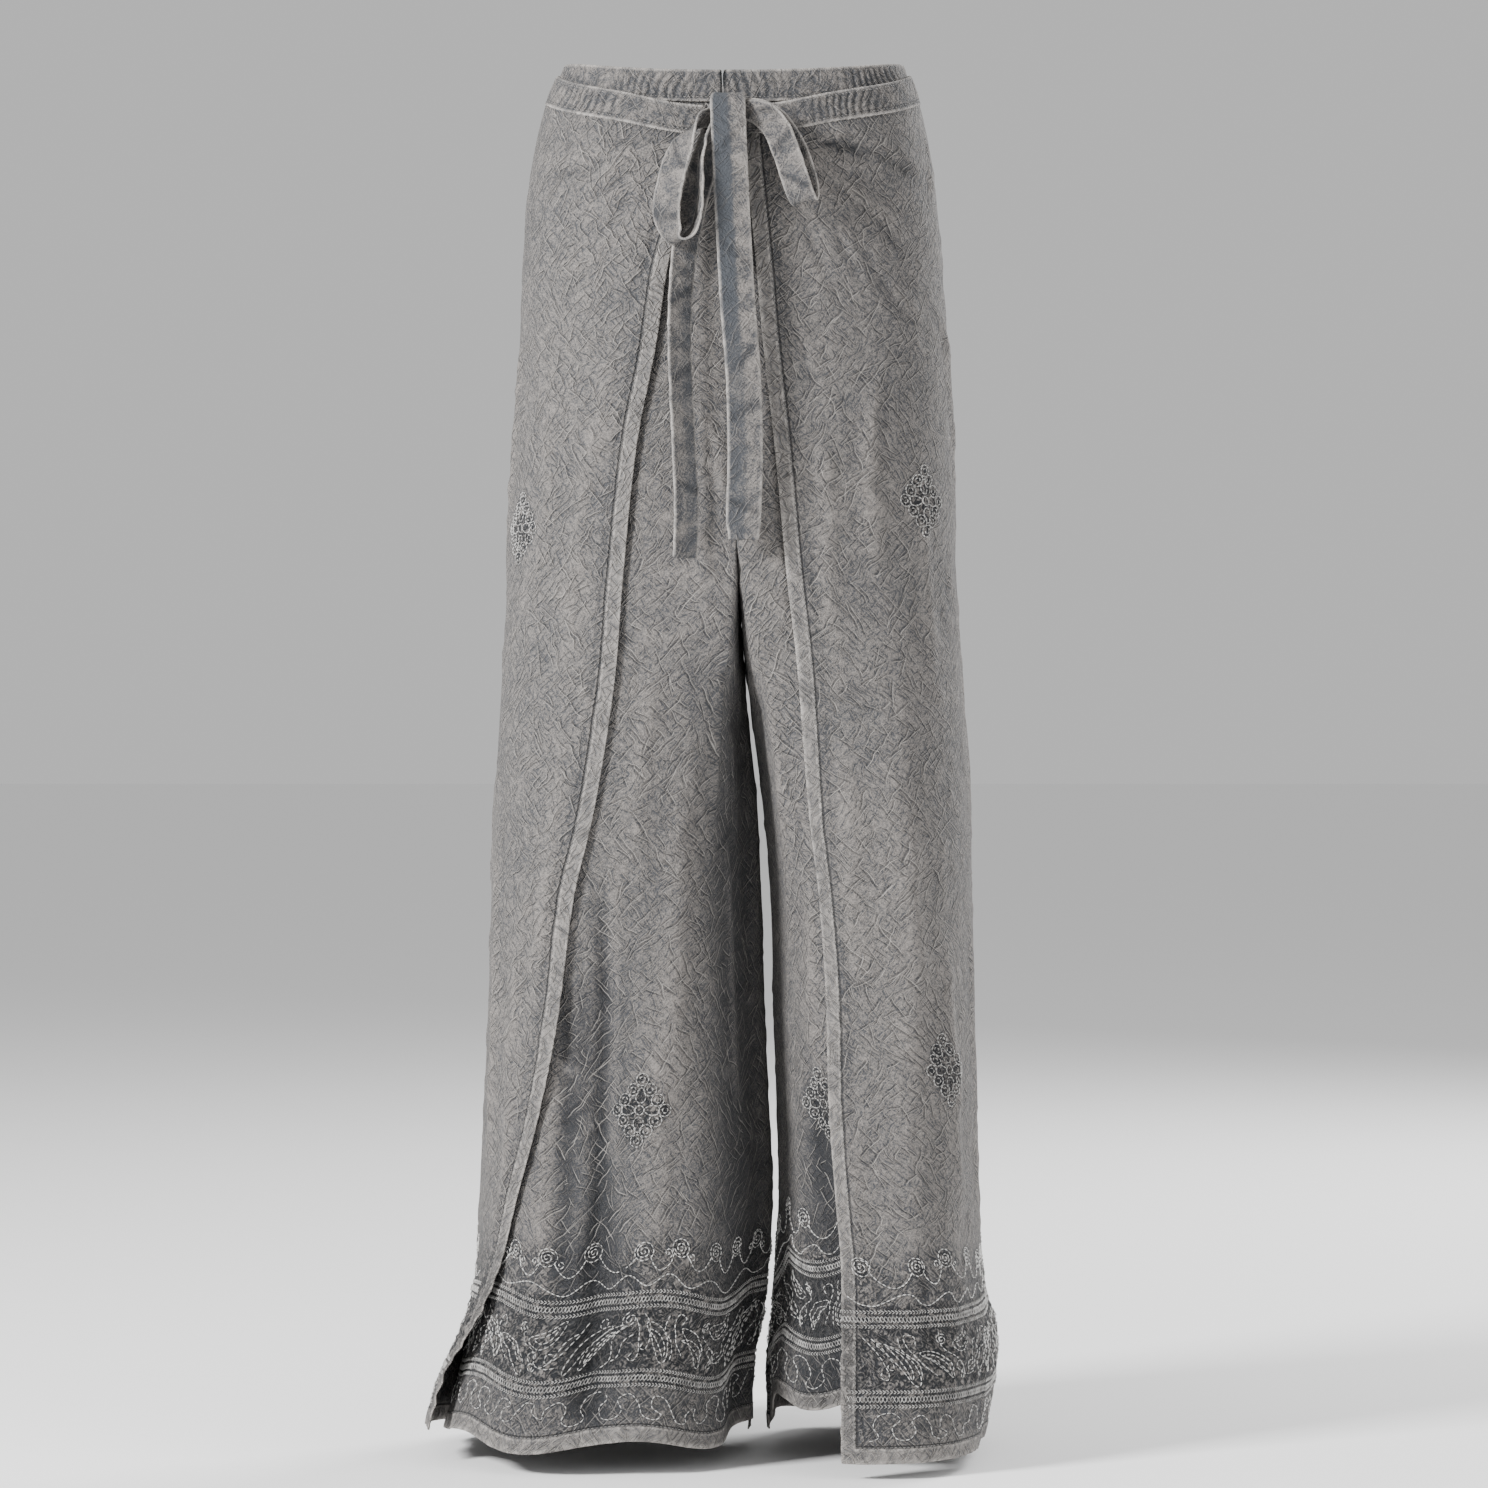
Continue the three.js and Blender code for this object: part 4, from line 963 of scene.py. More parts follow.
for seed, panel in enumerate(PANELS.values()):
    panel["ends"] = seam_at(panel, -950.0) + 3, edge_at(panel, -950.0) - 3
    panel["rosettes"] = rosette_places(panel["ends"][0], panel["ends"][1] - 8, seed)


def dark_ground_and_hem_shade(panel, u, z, from_edge, from_foot):
    """1 between and under the braids and in the medallions, 0.42 below, fading above, and a painted shadow
    inside the hem step.
    """
    value = between(from_foot, 36, 5, 112, 6) + 0.42 * between(from_foot, 8, 12, 40, 6)
    value = value + 0.55 * between(from_foot, 104, 6, 156, 40)
    for face, place, height in MEDALLIONS[panel["name"]]:
        across = (u - ruler_at(panel, place, height, face)) / MEDALLION_HALF[0]
        value = value + smooth((1.1 - np.abs(across) - np.abs(z - height) / MEDALLION_HALF[1]) * 5)
    for place, height, three in panel["rosettes"]:
        value = value + 0.9 * bell((u - place) / (1.7 if three else 1), 7) * bell(from_foot - height, 7)
    # The 0.3 at 16 mm from the free edge is a painted shadow at the foot of the hem's step.
    return np.clip(value + 0.3 * bell(from_edge - 16, 3.5), 0, 1)


def uneven(count, tight):
    """Shares from 0 to 1, closer together towards 1."""
    t = np.linspace(0, 1, count)
    return mix(t, 1 - (1 - t) ** 2, tight)


# %% Make the four panels
for name, panel in PANELS.items():
    front = panel["layer"] == "front"
    columns, rows = 112 if front else 150, 236
    rows_z = FIRST_ROW + (HEM_Z - FIRST_ROW) * uneven(rows, 0.25)
    row, s = np.meshgrid(rows_z, uneven(columns, 0.25), indexing="ij")
    z = row_height(panel, s, row)
    turn, x, y, fold = on_leg(panel, s, z)
    u, from_seam, from_edge, from_foot = distances(panel, s, z)
    rim = np.minimum(from_edge, from_foot)
    # The crest value: crests of the creases worn pale and partly a painted highlight, hollows of creases and
    # deep folds painted darker as shade, and near the knot the gathers painted lighter on their ridges and
    # darker in their valleys.
    crest = crease_height(panel, u, z, from_seam, from_edge, from_foot) / 2.6 + np.minimum(fold, 3) / 7
    knot_shade_weight = (turn < 0.5) * smooth((150 - np.hypot(x - KNOT_X, KNOT_Z - z)) / 110)
    panel["piece"] = make_cloth(
        name, surface(panel, s, z), PANEL_WALL, panel["leg"]["side"] * (1 if front else -1), u, z,
        "cloth", PANEL_CLOTH[name], rim=rim, hem=smooth((HEM_SEAM + 0.9 - rim) / 1.5),
        dark=dark_ground_and_hem_shade(panel, u, z, from_edge, from_foot),
        worn=np.maximum(0.85 * smooth((2.4 - rim) / 2), 0.24 * smooth((HEM_SEAM - 0.1 - rim) / 2)),
        crest=np.clip(crest + knot_shade_weight * (fold - 1.2) / 2.2, -1.6, 1),
    )
    print(name, "has", 2 * len(panel["piece"].data.polygons), "triangles")

# %% [markdown]
# The two waistbands are strips of doubled cloth that follow the same waist. The stitching
# draws them up into close leaning puckers. The front panels' band ends behind the sides. The
# back panels' band is one long strip, which starts and ends at the knot.


# %% The waistbands
def band_strip(path, top_of, height, offset, rows=15, pucker=0.5, seed=0):
    """Rows below top_of(leg, turn) at each (leg, turn) of the path, with leaning puckers."""
    grid, length = [], 0.0
    down = np.linspace(0, 1, rows)
    before = None
    for leg, turn in path:
        turns = np.full(rows, turn)
        z = top_of(leg, turns) - height * down
        x, y = plain(leg, turns, z)
        nx, ny = outward(leg, turns, z)
        length += 0 if before is None else np.hypot(x[0] - before[0], y[0] - before[1])
        before = (x[0], y[0])
        slanted = (4 * np.sin(length / 61 + seed) - 5) * down + 0.9 * np.sin(6 * down + length / 23)
        wave = np.sin(length / 0.95 + slanted + 1.8 * np.sin(length / 9.5 + seed))
        wave = wave * (0.6 + 0.4 * np.sin(length / 17 + seed)) * between(down, 0, 0.2, 1, 0.12)
        stitched = -0.5 * bell(down - 0.87, 0.05) + 0.35 * bell(down - 0.97, 0.05)
        out = offset(turns) + pucker * wave + stitched - 1.2 * bell(length, 1.4)
        grid.append(zipped(x + nx * out, y + ny * out, z, length, down, wave))
    return np.swapaxes(np.array(grid), 0, 1)


def make_band(name, grid, thickness, inwards, slot, material):
    """A band's cloth: worn pale along both edges, with its own map along and across."""
    down, height, u = grid[..., 4], grid[0, 0, 2] - grid[-1, 0, 2], grid[..., 3]
    worn = 0.75 * np.maximum(smooth((0.07 - down) / 0.05), smooth((down - 0.95) / 0.04))
    # The centre front, where the two halves of the front band meet, is painted dark as the shade in its
    # groove.
    seam = bell(u, 1.5) * name.startswith("front_band")
    # The 0.87 row is painted dark as the shade of the stitch groove, and the crest value paints the puckers
    # lighter on top and darker between them.
    piece = make_cloth(
        name, grid[..., :3], thickness, inwards, u, grid[..., 2], slot, material,
        worn=worn * (1 - seam), dark=seam + 0.5 * bell(down - 0.87, 0.03), hem=0.4,
        crest=np.where(seam > 0.3, -2.2, 1.1 * grid[..., 5]),
    )
    return grid


FRONT_BAND_OFFSET, BACK_BAND_OFFSET, BAND_START = -2.5, 0.6, 0.155
BAND_GRIDS = {}
for side, leg in LEGS.items():
    turns = np.linspace(CORNER + 0.0005, FRONT_END, 230)
    grid = band_strip([(leg, t) for t in turns], waist_top, FRONT_BAND_HEIGHT,
                      lambda t: FRONT_BAND_OFFSET + 0 * t, seed=leg["side"])
    name = f"front_band_{side}"
    BAND_GRIDS[name] = make_band(name, grid, BAND_WALL, leg["side"], "band", BAND_CLOTH)

turns = np.linspace(BAND_START, 1 - CORNER, 330)
path = [(LEGS["right"], t) for t in turns] + [(LEGS["left"], t) for t in turns[-2::-1]]
grid = band_strip(path, lambda leg, t: back_band_top(t), BACK_BAND_HEIGHT,
                  lambda t: BACK_BAND_OFFSET + 0 * t, seed=2.5)
BAND_GRIDS["back_band"] = make_band("back_band", grid, BAND_WALL, -1, "band", BAND_CLOTH)

# %% [markdown]
# The front panels have ties of their own. They run back under the back panels' band and are
# knotted behind, where only the inside of the waist shows them, so they stay plain.

# %% The hidden ties
for side, leg in LEGS.items():
    turns = np.linspace(FRONT_END + 0.0015, 1 - CORNER - 0.03, 90)
    grid = band_strip([(leg, t) for t in turns], lambda leg, t: -3 + 0 * t, 15,
                      lambda t: FRONT_BAND_OFFSET - 0.3 - 5 * smooth((t - 0.7) / 0.12), 8, 0.2)
    make_band(f"front_tie_{side}", grid, HIDDEN_TIE_WALL, leg["side"], "tie", TIE_CLOTH)

# %% [markdown]
# The bow is four strips of the same doubled cloth: two loops and two ends. Each follows a
# path of a few points, chosen from the photo, with the direction of its width beside each
# point. The flat strip is bent round that path, and then creased across, because a tie that
# is knotted and pulled never lies smooth.

# %% Strips along a path
PATHS = {  # x y z of the middle, then the direction of the width
    "bow_loop_right": [
        (-12, -112, -48, 0.1, -0.35, 0.9), (-26, -117, -56, 0.45, -0.5, 0.65),
        (-38, -121, -74, 0.75, -0.5, 0.25), (-46, -123, -100, 0.85, -0.5, 0.1),
        (-48, -124, -122, 0.8, -0.55, 0), (-41, -123, -138, 0.55, -0.8, 0),
        (-30, -122, -131, 0.3, -0.95, 0), (-25, -122, -108, 0.15, -0.97, 0),
        (-25, -121, -82, 0.15, -0.97, 0), (-21, -117.5, -63, 0.2, -0.9, 0.3),
        (-10, -112.5, -51, 0.2, -0.6, 0.7),
    ],
    "bow_loop_left": [
        (2, -112, -46, -0.1, -0.3, 0.95), (16, -118, -47, 0.35, -0.35, 0.85),
        (29, -120, -58, 0.8, -0.3, 0.5), (38, -120, -79, 0.93, -0.28, 0.22),
        (46, -119, -103, 0.93, -0.28, 0.2), (50.5, -114.5, -110, 0.93, -0.28, 0.2),
        (50, -111, -98, 0.93, -0.28, 0.25), (42, -110.5, -74, 0.93, -0.28, 0.3),
        (29, -110.5, -54, 0.6, -0.3, 0.7), (12, -109, -45, 0.1, -0.3, 0.95),
        (0, -107, -45, 0, -0.2, 0.97),
    ],
    "bow_tail_centre": [
        (-6, -108, -36, 1, 0, 0), (-5, -114.5, -35, 1, 0, 0), (-5, -122, -41, 1, 0, 0),
        (-4.5, -125, -55, 1, 0, 0), (-3.5, -124.5, -80, 1, 0, 0), (-2, -121, -112, 1, 0.04, 0),
        (2, -117, -183, 1, 0.08, 0), (6, -115, -235, 1, 0.12, 0), (7.5, -115, -290, 1, 0.05, 0),
        (6.5, -113, -333, 1, 0, 0), (6.5, -112, -353, 1, 0, 0),
    ],
    "bow_tail_right": [
        (-11, -104.5, -55, 0.9, 0.05, 0.4), (-19, -104, -74, 0.97, 0.1, 0.2),
        (-30, -105, -112, 0.98, 0.15, 0.1), (-38, -107, -160, 0.85, 0.5, 0),
        (-40, -109, -213, 0.8, 0.55, 0), (-37, -109, -286, 0.8, 0.55, 0),
        (-35, -109, -331, 0.85, 0.5, 0), (-36, -109, -366, 0.8, 0.5, 0),
    ],
}


def curve_through(points, t):
    """Even Catmull-Rom: each stretch leaves a point along half the step between its neighbours."""
    points = np.asarray(points, dtype=float)
    ends = np.concatenate([[2 * points[0] - points[1]], points, [2 * points[-1] - points[-2]]])
    at = np.clip(t, 0, 1) * (len(points) - 1)
    i = np.minimum(at.astype(int), len(points) - 2)
    f = (at - i)[:, None]
    p0, p1, p2, p3 = ends[i], ends[i + 1], ends[i + 2], ends[i + 3]
    a, b = 2 * p0 - 5 * p1 + 4 * p2 - p3, 3 * (p1 - p2) + p3 - p0
    return 0.5 * (2 * p1 + (p2 - p0) * f + a * f**2 + b * f**3)


def strip_grid(points, width_at, steps, creases, columns=15, seed=0):
    """Across the path: width direction made square to it; creases lift the strip off its plane."""
    t = np.linspace(0, 1, steps)
    points = np.asarray(points, dtype=float)
    middle, broad = curve_through(points[:, :3], t), curve_through(points[:, 3:], t)
    tangent = unit(np.gradient(middle, axis=0))
    broad = unit(broad - np.sum(broad * tangent, axis=1, keepdims=True) * tangent)
    normal = np.cross(broad, tangent)
    length, across = lengths(middle), np.linspace(-1, 1, columns)[None, :]
    half = width_at(t)[:, None] / 2
    v, d = across * half, length[:, None]
    lift = np.zeros(v.shape)
    for place, slant, height, wide in creases:
        lift += height * bell(d - place * length[-1] - slant * v, wide) * (1 - 0.35 * across**4)
    lift += 0.22 * np.sin(d / 2.3 + 1.7 * np.sin(d / 11 + seed) + v / 2.1) * np.abs(across) ** 3
    lift -= 0.3 * bell(np.abs(across) - 0.82, 0.06)
    grid = middle[:, None, :] + v[..., None] * broad[:, None, :] + lift[..., None] * normal[:, None, :]
    return grid, np.broadcast_to(d, v.shape), v, across, length[-1], half.mean() * 2


def make_tie(name, width_at, steps, creases, shade=None, seed=0):
    """A tie's cloth; returns its grid so that topstitches can follow it."""
    grid, d, v, across, length, width = strip_grid(PATHS[name], width_at, steps, creases, seed=seed)
    # The crest value: raised creases lighter, worn and partly a painted highlight, and sunken ones painted
    # darker as shade.
    crest = sum(np.sign(h) * bell(d - p * length - a * v, w) for p, a, h, w in creases)
    piece = make_cloth(
        name, grid, TIE_WALL, -1, v, d, "tie", TIE_CLOTH, hem=0, crest=np.clip(crest, -1, 1),
        worn=0.8 * smooth((np.abs(across) - 0.93) / 0.05), dark=shade(d / length, across) if shade else 0,
    )
    print(name, "is", round(length), "mm long and", round(width, 1), "mm wide")
    return grid


# %% The bow
TIE_WIDTH = 24


def loop_width(broad):
    """Narrow where the knot grips it, at both ends."""
    return lambda t: broad * (0.55 + 0.45 * smooth(np.minimum(t, 1 - t) * 6))


def end_width(t):
    """Pinched over the knot, and a little narrower at the stitched end."""
    return TIE_WIDTH * (0.72 + 0.28 * smooth(t * 5)) * (1 - 0.15 * smooth((t - 0.92) / 0.08))


def washed(along, across):
    """The blue-grey left part of the long end in front, fainter in its lower third."""
    return 0.9 * smooth((0.2 - across) / 0.35) * mix(0.4, 1, smooth((0.62 - along) / 0.2))


TIES = {  # width, steps, creases as place along, slant, height and width, then the shade
    "bow_loop_right": (loop_width(TIE_WIDTH - 2), 120, [
        (0.10, 0.5, -0.9, 3.0), (0.16, -0.7, 0.8, 2.6), (0.22, 0.9, -0.7, 2.4), (0.29, -0.4, 0.6, 2.8),
        (0.36, 0.8, 0.7, 2.4), (0.43, 0.3, -0.8, 3.2), (0.52, -0.6, 0.6, 2.4), (0.63, 0.5, -0.7, 2.8),
        (0.74, -0.8, 0.6, 2.4), (0.85, 0.4, -0.8, 3.0),
    ]),
    "bow_loop_left": (loop_width(TIE_WIDTH - 5), 110, [
        (0.08, 1.1, -0.9, 2.6), (0.15, 0.9, 0.8, 2.8), (0.24, -0.5, -0.6, 3.4), (0.33, 0.7, 0.8, 2.4),
        (0.40, 0.9, -0.8, 2.4), (0.52, -0.4, 0.5, 2.6), (0.66, 0.8, -0.6, 2.8), (0.82, -0.7, 0.6, 2.6),
    ]),
    "bow_tail_centre": (end_width, 190, [
        (0.10, 0.9, 0.8, 2.2), (0.13, -1.2, -0.7, 2.6), (0.17, 0.8, 0.7, 2.2), (0.30, -0.5, 0.5, 4.0),
        (0.38, 1.0, -0.5, 2.6), (0.47, -0.9, 0.5, 2.4), (0.55, 0.8, 0.6, 2.2), (0.61, -1.1, -0.7, 2.6),
        (0.66, 0.9, 0.7, 2.2), (0.72, -0.6, -0.6, 2.8), (0.78, 1.0, 0.6, 2.4), (0.86, -0.8, 0.7, 2.6),
        (0.93, 0.4, -0.5, 2.2),
    ], washed),
    "bow_tail_right": (lambda t: TIE_WIDTH - 5 + 0 * t, 170, [
        (0.12, 0.6, -0.6, 3.0), (0.22, -0.9, 0.6, 2.6), (0.33, 0.8, 0.7, 2.4), (0.40, -0.7, -0.7, 2.8),
        (0.50, 1.0, 0.6, 2.4), (0.58, -0.5, -0.7, 3.0), (0.67, 0.9, 0.7, 2.4), (0.76, -0.8, 0.6, 2.6),
        (0.84, 0.5, -0.6, 2.4), (0.93, -0.4, 0.4, 2.2),
    ], lambda along, across: 0.3 * smooth((across + 0.2) / 0.6)),
}
TIE_GRIDS = {name: make_tie(name, *tie, seed=1 + k) for k, (name, tie) in enumerate(TIES.items())}
BACK_KNOT = (-9, 86, -12)
for side, leg in LEGS.items():
    steps = np.arange(5)
    x = BACK_KNOT[0] + leg["side"] * (9.5 + 3.2 * steps)
    y = BACK_KNOT[1] + 4 + np.where(steps > 0, 2.6 * steps**0.8, 0)
    z = BACK_KNOT[2] - 7 - 37 * steps
    PATHS[f"front_tie_tail_{side}"] = zipped(x, y, z, 1, 0, 0)
    creases = [(0.3, 0.5, 0.5, 3.0), (0.6, -0.6, -0.5, 3.0)]
    make_tie(f"front_tie_tail_{side}", lambda t: 15 + 0 * t, 60, creases)

# %% [markdown]
# A knot in a flat tie is a lump of turns pulled tight. The longest turn crosses it from one
# side to the other, and the rest shows as folds. One closed rounded form with a few bent
# grooves gives that, and the bow's end falls over it and hides most of it anyway.


# %% The knots
def make_knot(name, centre, size):
    """An ellipsoid about the x axis, whose radius is cut by grooves along bent lines."""
    rows, columns = 40, 64
    tilt, spin = np.meshgrid(np.linspace(0.02, 0.98, rows) * np.pi,
                             np.arange(columns) * 2 * np.pi / columns, indexing="ij")
    groove = bell(np.sin(2 * spin + 2.2 * np.cos(tilt) + 0.5), 0.35) * np.sin(tilt)
    second = bell(np.cos(tilt) - 0.35 - 0.25 * np.sin(spin), 0.1)
    r = 0.5 * (1 - 0.11 * groove - 0.07 * second)
    ball = zipped(np.cos(tilt), np.sin(tilt) * np.cos(spin), np.sin(tilt) * np.sin(spin))
    points = (ball * r[..., None] * np.array(size) + np.array(centre)).reshape(-1, 3)
    k = np.arange(rows * columns).reshape(rows, columns)
    right = np.roll(k, -1, axis=1)
    quads = zipped(k[:-1], right[:-1], right[1:], k[1:]).reshape(-1, 4)
    ends = np.array(centre) + np.array([[0.5 * size[0], 0, 0], [-0.5 * size[0], 0, 0]])
    first, last = rows * columns, rows * columns + 1
    cap = [[first, b, a] for a, b in zip(k[0], right[0])] + [[last, a, b] for a, b in zip(k[-1], right[-1])]
    verts = np.concatenate([points, ends])
    faces = [list(map(int, q[::-1])) for q in quads] + [list(map(int, c)) for c in cap]
    flat = np.zeros(len(verts))
    worn = np.concatenate([(0.3 * (1 - groove)).ravel(), [0, 0]])
    uv = verts[:, [0, 2]] + verts[:, [1, 1]] * 0.7
    values = {"worn": worn, "dark": flat, "crest": flat, "hem": flat}
    piece = make_piece(f"{name}_cloth", verts, faces, "tie", TIE_CLOTH, uv, values)
    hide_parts(name)
    print(name, "has", len(faces), "faces")


make_knot("knot", (-5, -105.4, -47), (31, 25, 25))
make_knot("front_tie_knot", BACK_KNOT, (28, 12, 21))

# %% [markdown]
# The embroidery is real thread, so it is real geometry: thousands of short stitches, each a
# small three-sided bead that dips into the cloth at both ends. They differ only in where
# they lie, so all of a panel's stitches are worked out as one block of numbers. A pattern is
# first drawn flat, as lines in millimetres along the hem and above it. Then it is cut into
# stitches and laid on the cloth with the panel's ruler.

# %% From flat lines to stitches
THREAD_SIDES = 3


def running(line, stitch=3.0, gap=0.9):
    """Cuts a line of (n, 2) points into stitches: three points each, as (count, 3, 2)."""
    line = np.asarray(line, dtype=float)
    length = lengths(line)
    count = max(1, int(length[-1] // (stitch + gap)))
    starts = (np.arange(count) + 0.5) * length[-1] / count - stitch / 2
    at = np.clip(starts[:, None] + stitch * np.array([0, 0.5, 1]), 0, length[-1])
    return zipped(np.interp(at, length, line[:, 0]), np.interp(at, length, line[:, 1]))


def beads(stitches, on_cloth, radius, rise):
    """Three-sided beads: a ring of points round each stitch point, thinner at the ends."""
    count, steps = stitches.shape[:2]
    base = on_cloth(stitches, 0.0)
    normal = unit(on_cloth(stitches, 1.0) - base)
    side = unit(np.cross(np.gradient(base, axis=1), normal))
    profile = np.sin(np.linspace(0.18, np.pi - 0.18, steps)) ** 0.5
    middle = base + normal * (rise * profile[None, :, None])
    angle = np.pi / 2 + np.arange(THREAD_SIDES) * 2 * np.pi / THREAD_SIDES
    ring = np.cos(angle)[:, None] * side[..., None, :] + np.sin(angle)[:, None] * normal[..., None, :]
    verts = middle[:, :, None, :] + ring * (radius * profile)[None, :, None, None]
    k = np.arange(steps * THREAD_SIDES).reshape(steps, THREAD_SIDES)
    around = np.roll(k, -1, axis=1)
    sides = zipped(k[:-1], k[1:], around[1:], around[:-1]).reshape(-1, 4)
    starts = np.arange(count)[:, None, None] * steps * THREAD_SIDES
    quads = (sides[None] + starts).reshape(-1, 4).tolist()
    caps = np.stack([k[0], k[-1][::-1]])[None] + starts
    return verts.reshape(-1, 3), quads + caps.reshape(-1, THREAD_SIDES).tolist()


def join(parts):
    """Several (points, faces) as one."""
    verts, faces, start = [], [], 0
    for points, polygons in parts:
        faces += [[k + start for k in polygon] for polygon in polygons]
        verts.append(points)
        start += len(points)
    return np.concatenate(verts), faces


# %% The thread
def thread_material(name, colour):
    """Spun thread: a light strand with a soft gloss, a little darker in places."""
    n = Nodes(name)
    place = n.add("ShaderNodeTexCoord").outputs["Object"]
    shade = tuple(0.5 * c for c in colour[:3]) + (1,)
    return n.finish({
        "Base Color": n.coats(shade, (n.ramp(n.noise(place, 240.0, 2.0), 0.36, 0.6), colour)),
        "Normal": n.bump(0.3, 0.0002, n.noise(place, 1900.0, 1.0)), "Roughness": 0.5, "Sheen Weight": 0.15,
    })


BRIGHT_THREAD = thread_material("embroidery_thread", (0.60, 0.59, 0.57, 1))
MUTED_THREAD = thread_material("braid_thread", (0.42, 0.41, 0.395, 1))
SEAM_THREAD = thread_material("sewing_thread", (0.24, 0.23, 0.22, 1))

# %% [markdown]
# Round each hem run two braids, with leaves and rings between them, scrolls below, and a
# vine above that carries small spiral rosettes. Embroiderers draw such a border freehand
# from a few motifs, so no two leaves are alike. Here a row of motifs is given and goes
# round the hem, and each copy is leaned and sized a little differently.


# %% Motifs
def arc(centre, radius, start, end, count=14):
    """Part of a circle, between two angles in degrees."""
    a = np.radians(np.linspace(start, end, count))
    return zipped(centre[0] + radius * np.cos(a), centre[1] + radius * np.sin(a))


def turned(line, lean, scale=1.0, place=(0, 0)):
    """The line leaned by an angle in degrees, scaled and moved."""
    a = np.radians(lean)
    turn = np.array([[np.cos(a), np.sin(a)], [-np.sin(a), np.cos(a)]])
    return np.asarray(line) @ turn * scale + np.array(place)


def bean(length, width, bend=0.0):
    """A long round-ended outline: wider at its foot, and bent sideways by bend at both ends."""
    a = np.radians(np.linspace(-90, 270, 30))
    x = width / 2 * np.cos(a) * (1 - 0.25 * np.sin(a)) + bend * np.sin(a) ** 2
    return zipped(x, length / 2 * np.sin(a))


def hook(length, radius):
    """A slack stroke that curls round at its foot."""
    foot = radius - length / 2
    points = [(1, length / 2), (-1.5, length / 6), (-1, foot + 2), (radius - 1, foot - radius),
              (2 * radius - 1, foot), (radius - 0.5, foot + 0.9 * radius)]
    return curve_through(points, np.linspace(0, 1, 26))


def wave(length, swing):
    """A slack S."""
    y = np.linspace(-length / 2, length / 2, 20)
    return zipped(swing * np.sin(2 * np.pi * y / length), y)


def spiral(radius, turns=2.2):
    """Radius grows evenly with the angle."""
    t = np.linspace(0.12, 1, 22)
    a = 2 * np.pi * turns * t
    return zipped(radius * t * np.cos(a), radius * t * np.sin(a))


BORDER = [  # step to the next, then lines with lean and place: what fills the dark stripe
    (15, [(bean(38, 10, 4), -40, (0, 0)), (bean(29, 4, 3), -40, (0, 0))]),
    (13, [(hook(36, 4), -28, (1, 1)), (hook(27, 3), -24, (-4, 4))]),
    (17, [(spiral(5.6), 0, (-2, 13)), (wave(30, 4), 24, (4, -4)), (wave(24, 3), 30, (-4, -7))]),
    (12, [(bean(40, 8, -4), 38, (0, 0)), (bean(31, 3, -3), 38, (0, 0))]),
    (12, [(bean(41, 7, -5), 44, (0, -1)), (arc((0, 0), 3.6, 0, 360), 0, (-9, 13))]),
    (17, [(hook(38, 4.4), 36, (1, 1)), (wave(30, 2.4), 42, (7, -2))]),
    (15, [(bean(27, 11, 5), 62, (2, 9)), (bean(18, 5, 4), 62, (2, 9)), (hook(26, 4), 104, (2, -11))]),
    (14, [(wave(38, 4.5), -30, (0, 0)), (spiral(4.6), 60, (8, 12)),
          (arc((0, 0), 3.4, 0, 360), 0, (-8, -13))]),
    (16, [(bean(36, 9, 5), -54, (0, -2)), (bean(26, 4, 4), -54, (0, -2))]),
    (13, [(hook(34, 5), 150, (0, 0)), (wave(32, 3), -18, (7, 0))]),
]
REPEAT = 118
MEANDER = [  # one repeat, in mm, of the line that wanders below the braids
    (0, 4), (-1, 10), (7, 11), (12, 5), (18, -5), (27, -6), (28, 2), (21, 7), (26, 11), (35, 8),
    (38, -1), (45, -8), (53, -4), (50, 4), (56, 10), (65, 9), (68, 1), (62, -5), (68, -10), (78, -8),
    (82, 0), (78, 8), (86, 11), (94, 6), (93, -3), (100, -9), (108, -5), (109, 2),
]


def closing(line):
    """A round line is closed by its own first point."""
    return np.concatenate([line, line[:1]])


def wandering(first, last, middle, seed):
    """The meander, repeated with a new size each time, as one smooth line."""
    dice, points, u = np.random.default_rng(seed + 20), [], first
    while u < last:
        wide, high = dice.uniform(0.86, 1.12), dice.uniform(0.85, 1.1) * dice.choice((-1, 1))
        points += [(u + wide * x, middle + high * y) for x, y in MEANDER]
        u += REPEAT * wide
    line = curve_through(points, np.linspace(0, 1, 9 * len(points)))
    return line[(line[:, 0] > first) & (line[:, 0] < last)]


def border_lines(first, last, seed):
    """Every flat line of the border between two places on the ruler, as (u, height) points."""
    dice, lines, u, k = np.random.default_rng(seed), [], first + 8, seed
    while u < last - 8:
        step, motifs = BORDER[k % len(BORDER)]
        for line, lean, place in motifs:
            size, extra = dice.uniform(0.88, 1.06), dice.normal(0, 5)
            up = BORDER_MIDDLE + place[1] + dice.normal(0, 1)
            drawn = turned(line, lean + extra, size, (u + place[0], up))
            up = np.clip(drawn[:, 1], BORDER_MIDDLE - BORDER_HALF, BORDER_MIDDLE + BORDER_HALF)
            lines.append(zipped(drawn[:, 0], up))
        u, k = u + step * dice.uniform(0.9, 1.08), k + 1
    lines.append(wandering(first + 6, last - 6, MEANDER_HEIGHT, seed))
    return lines


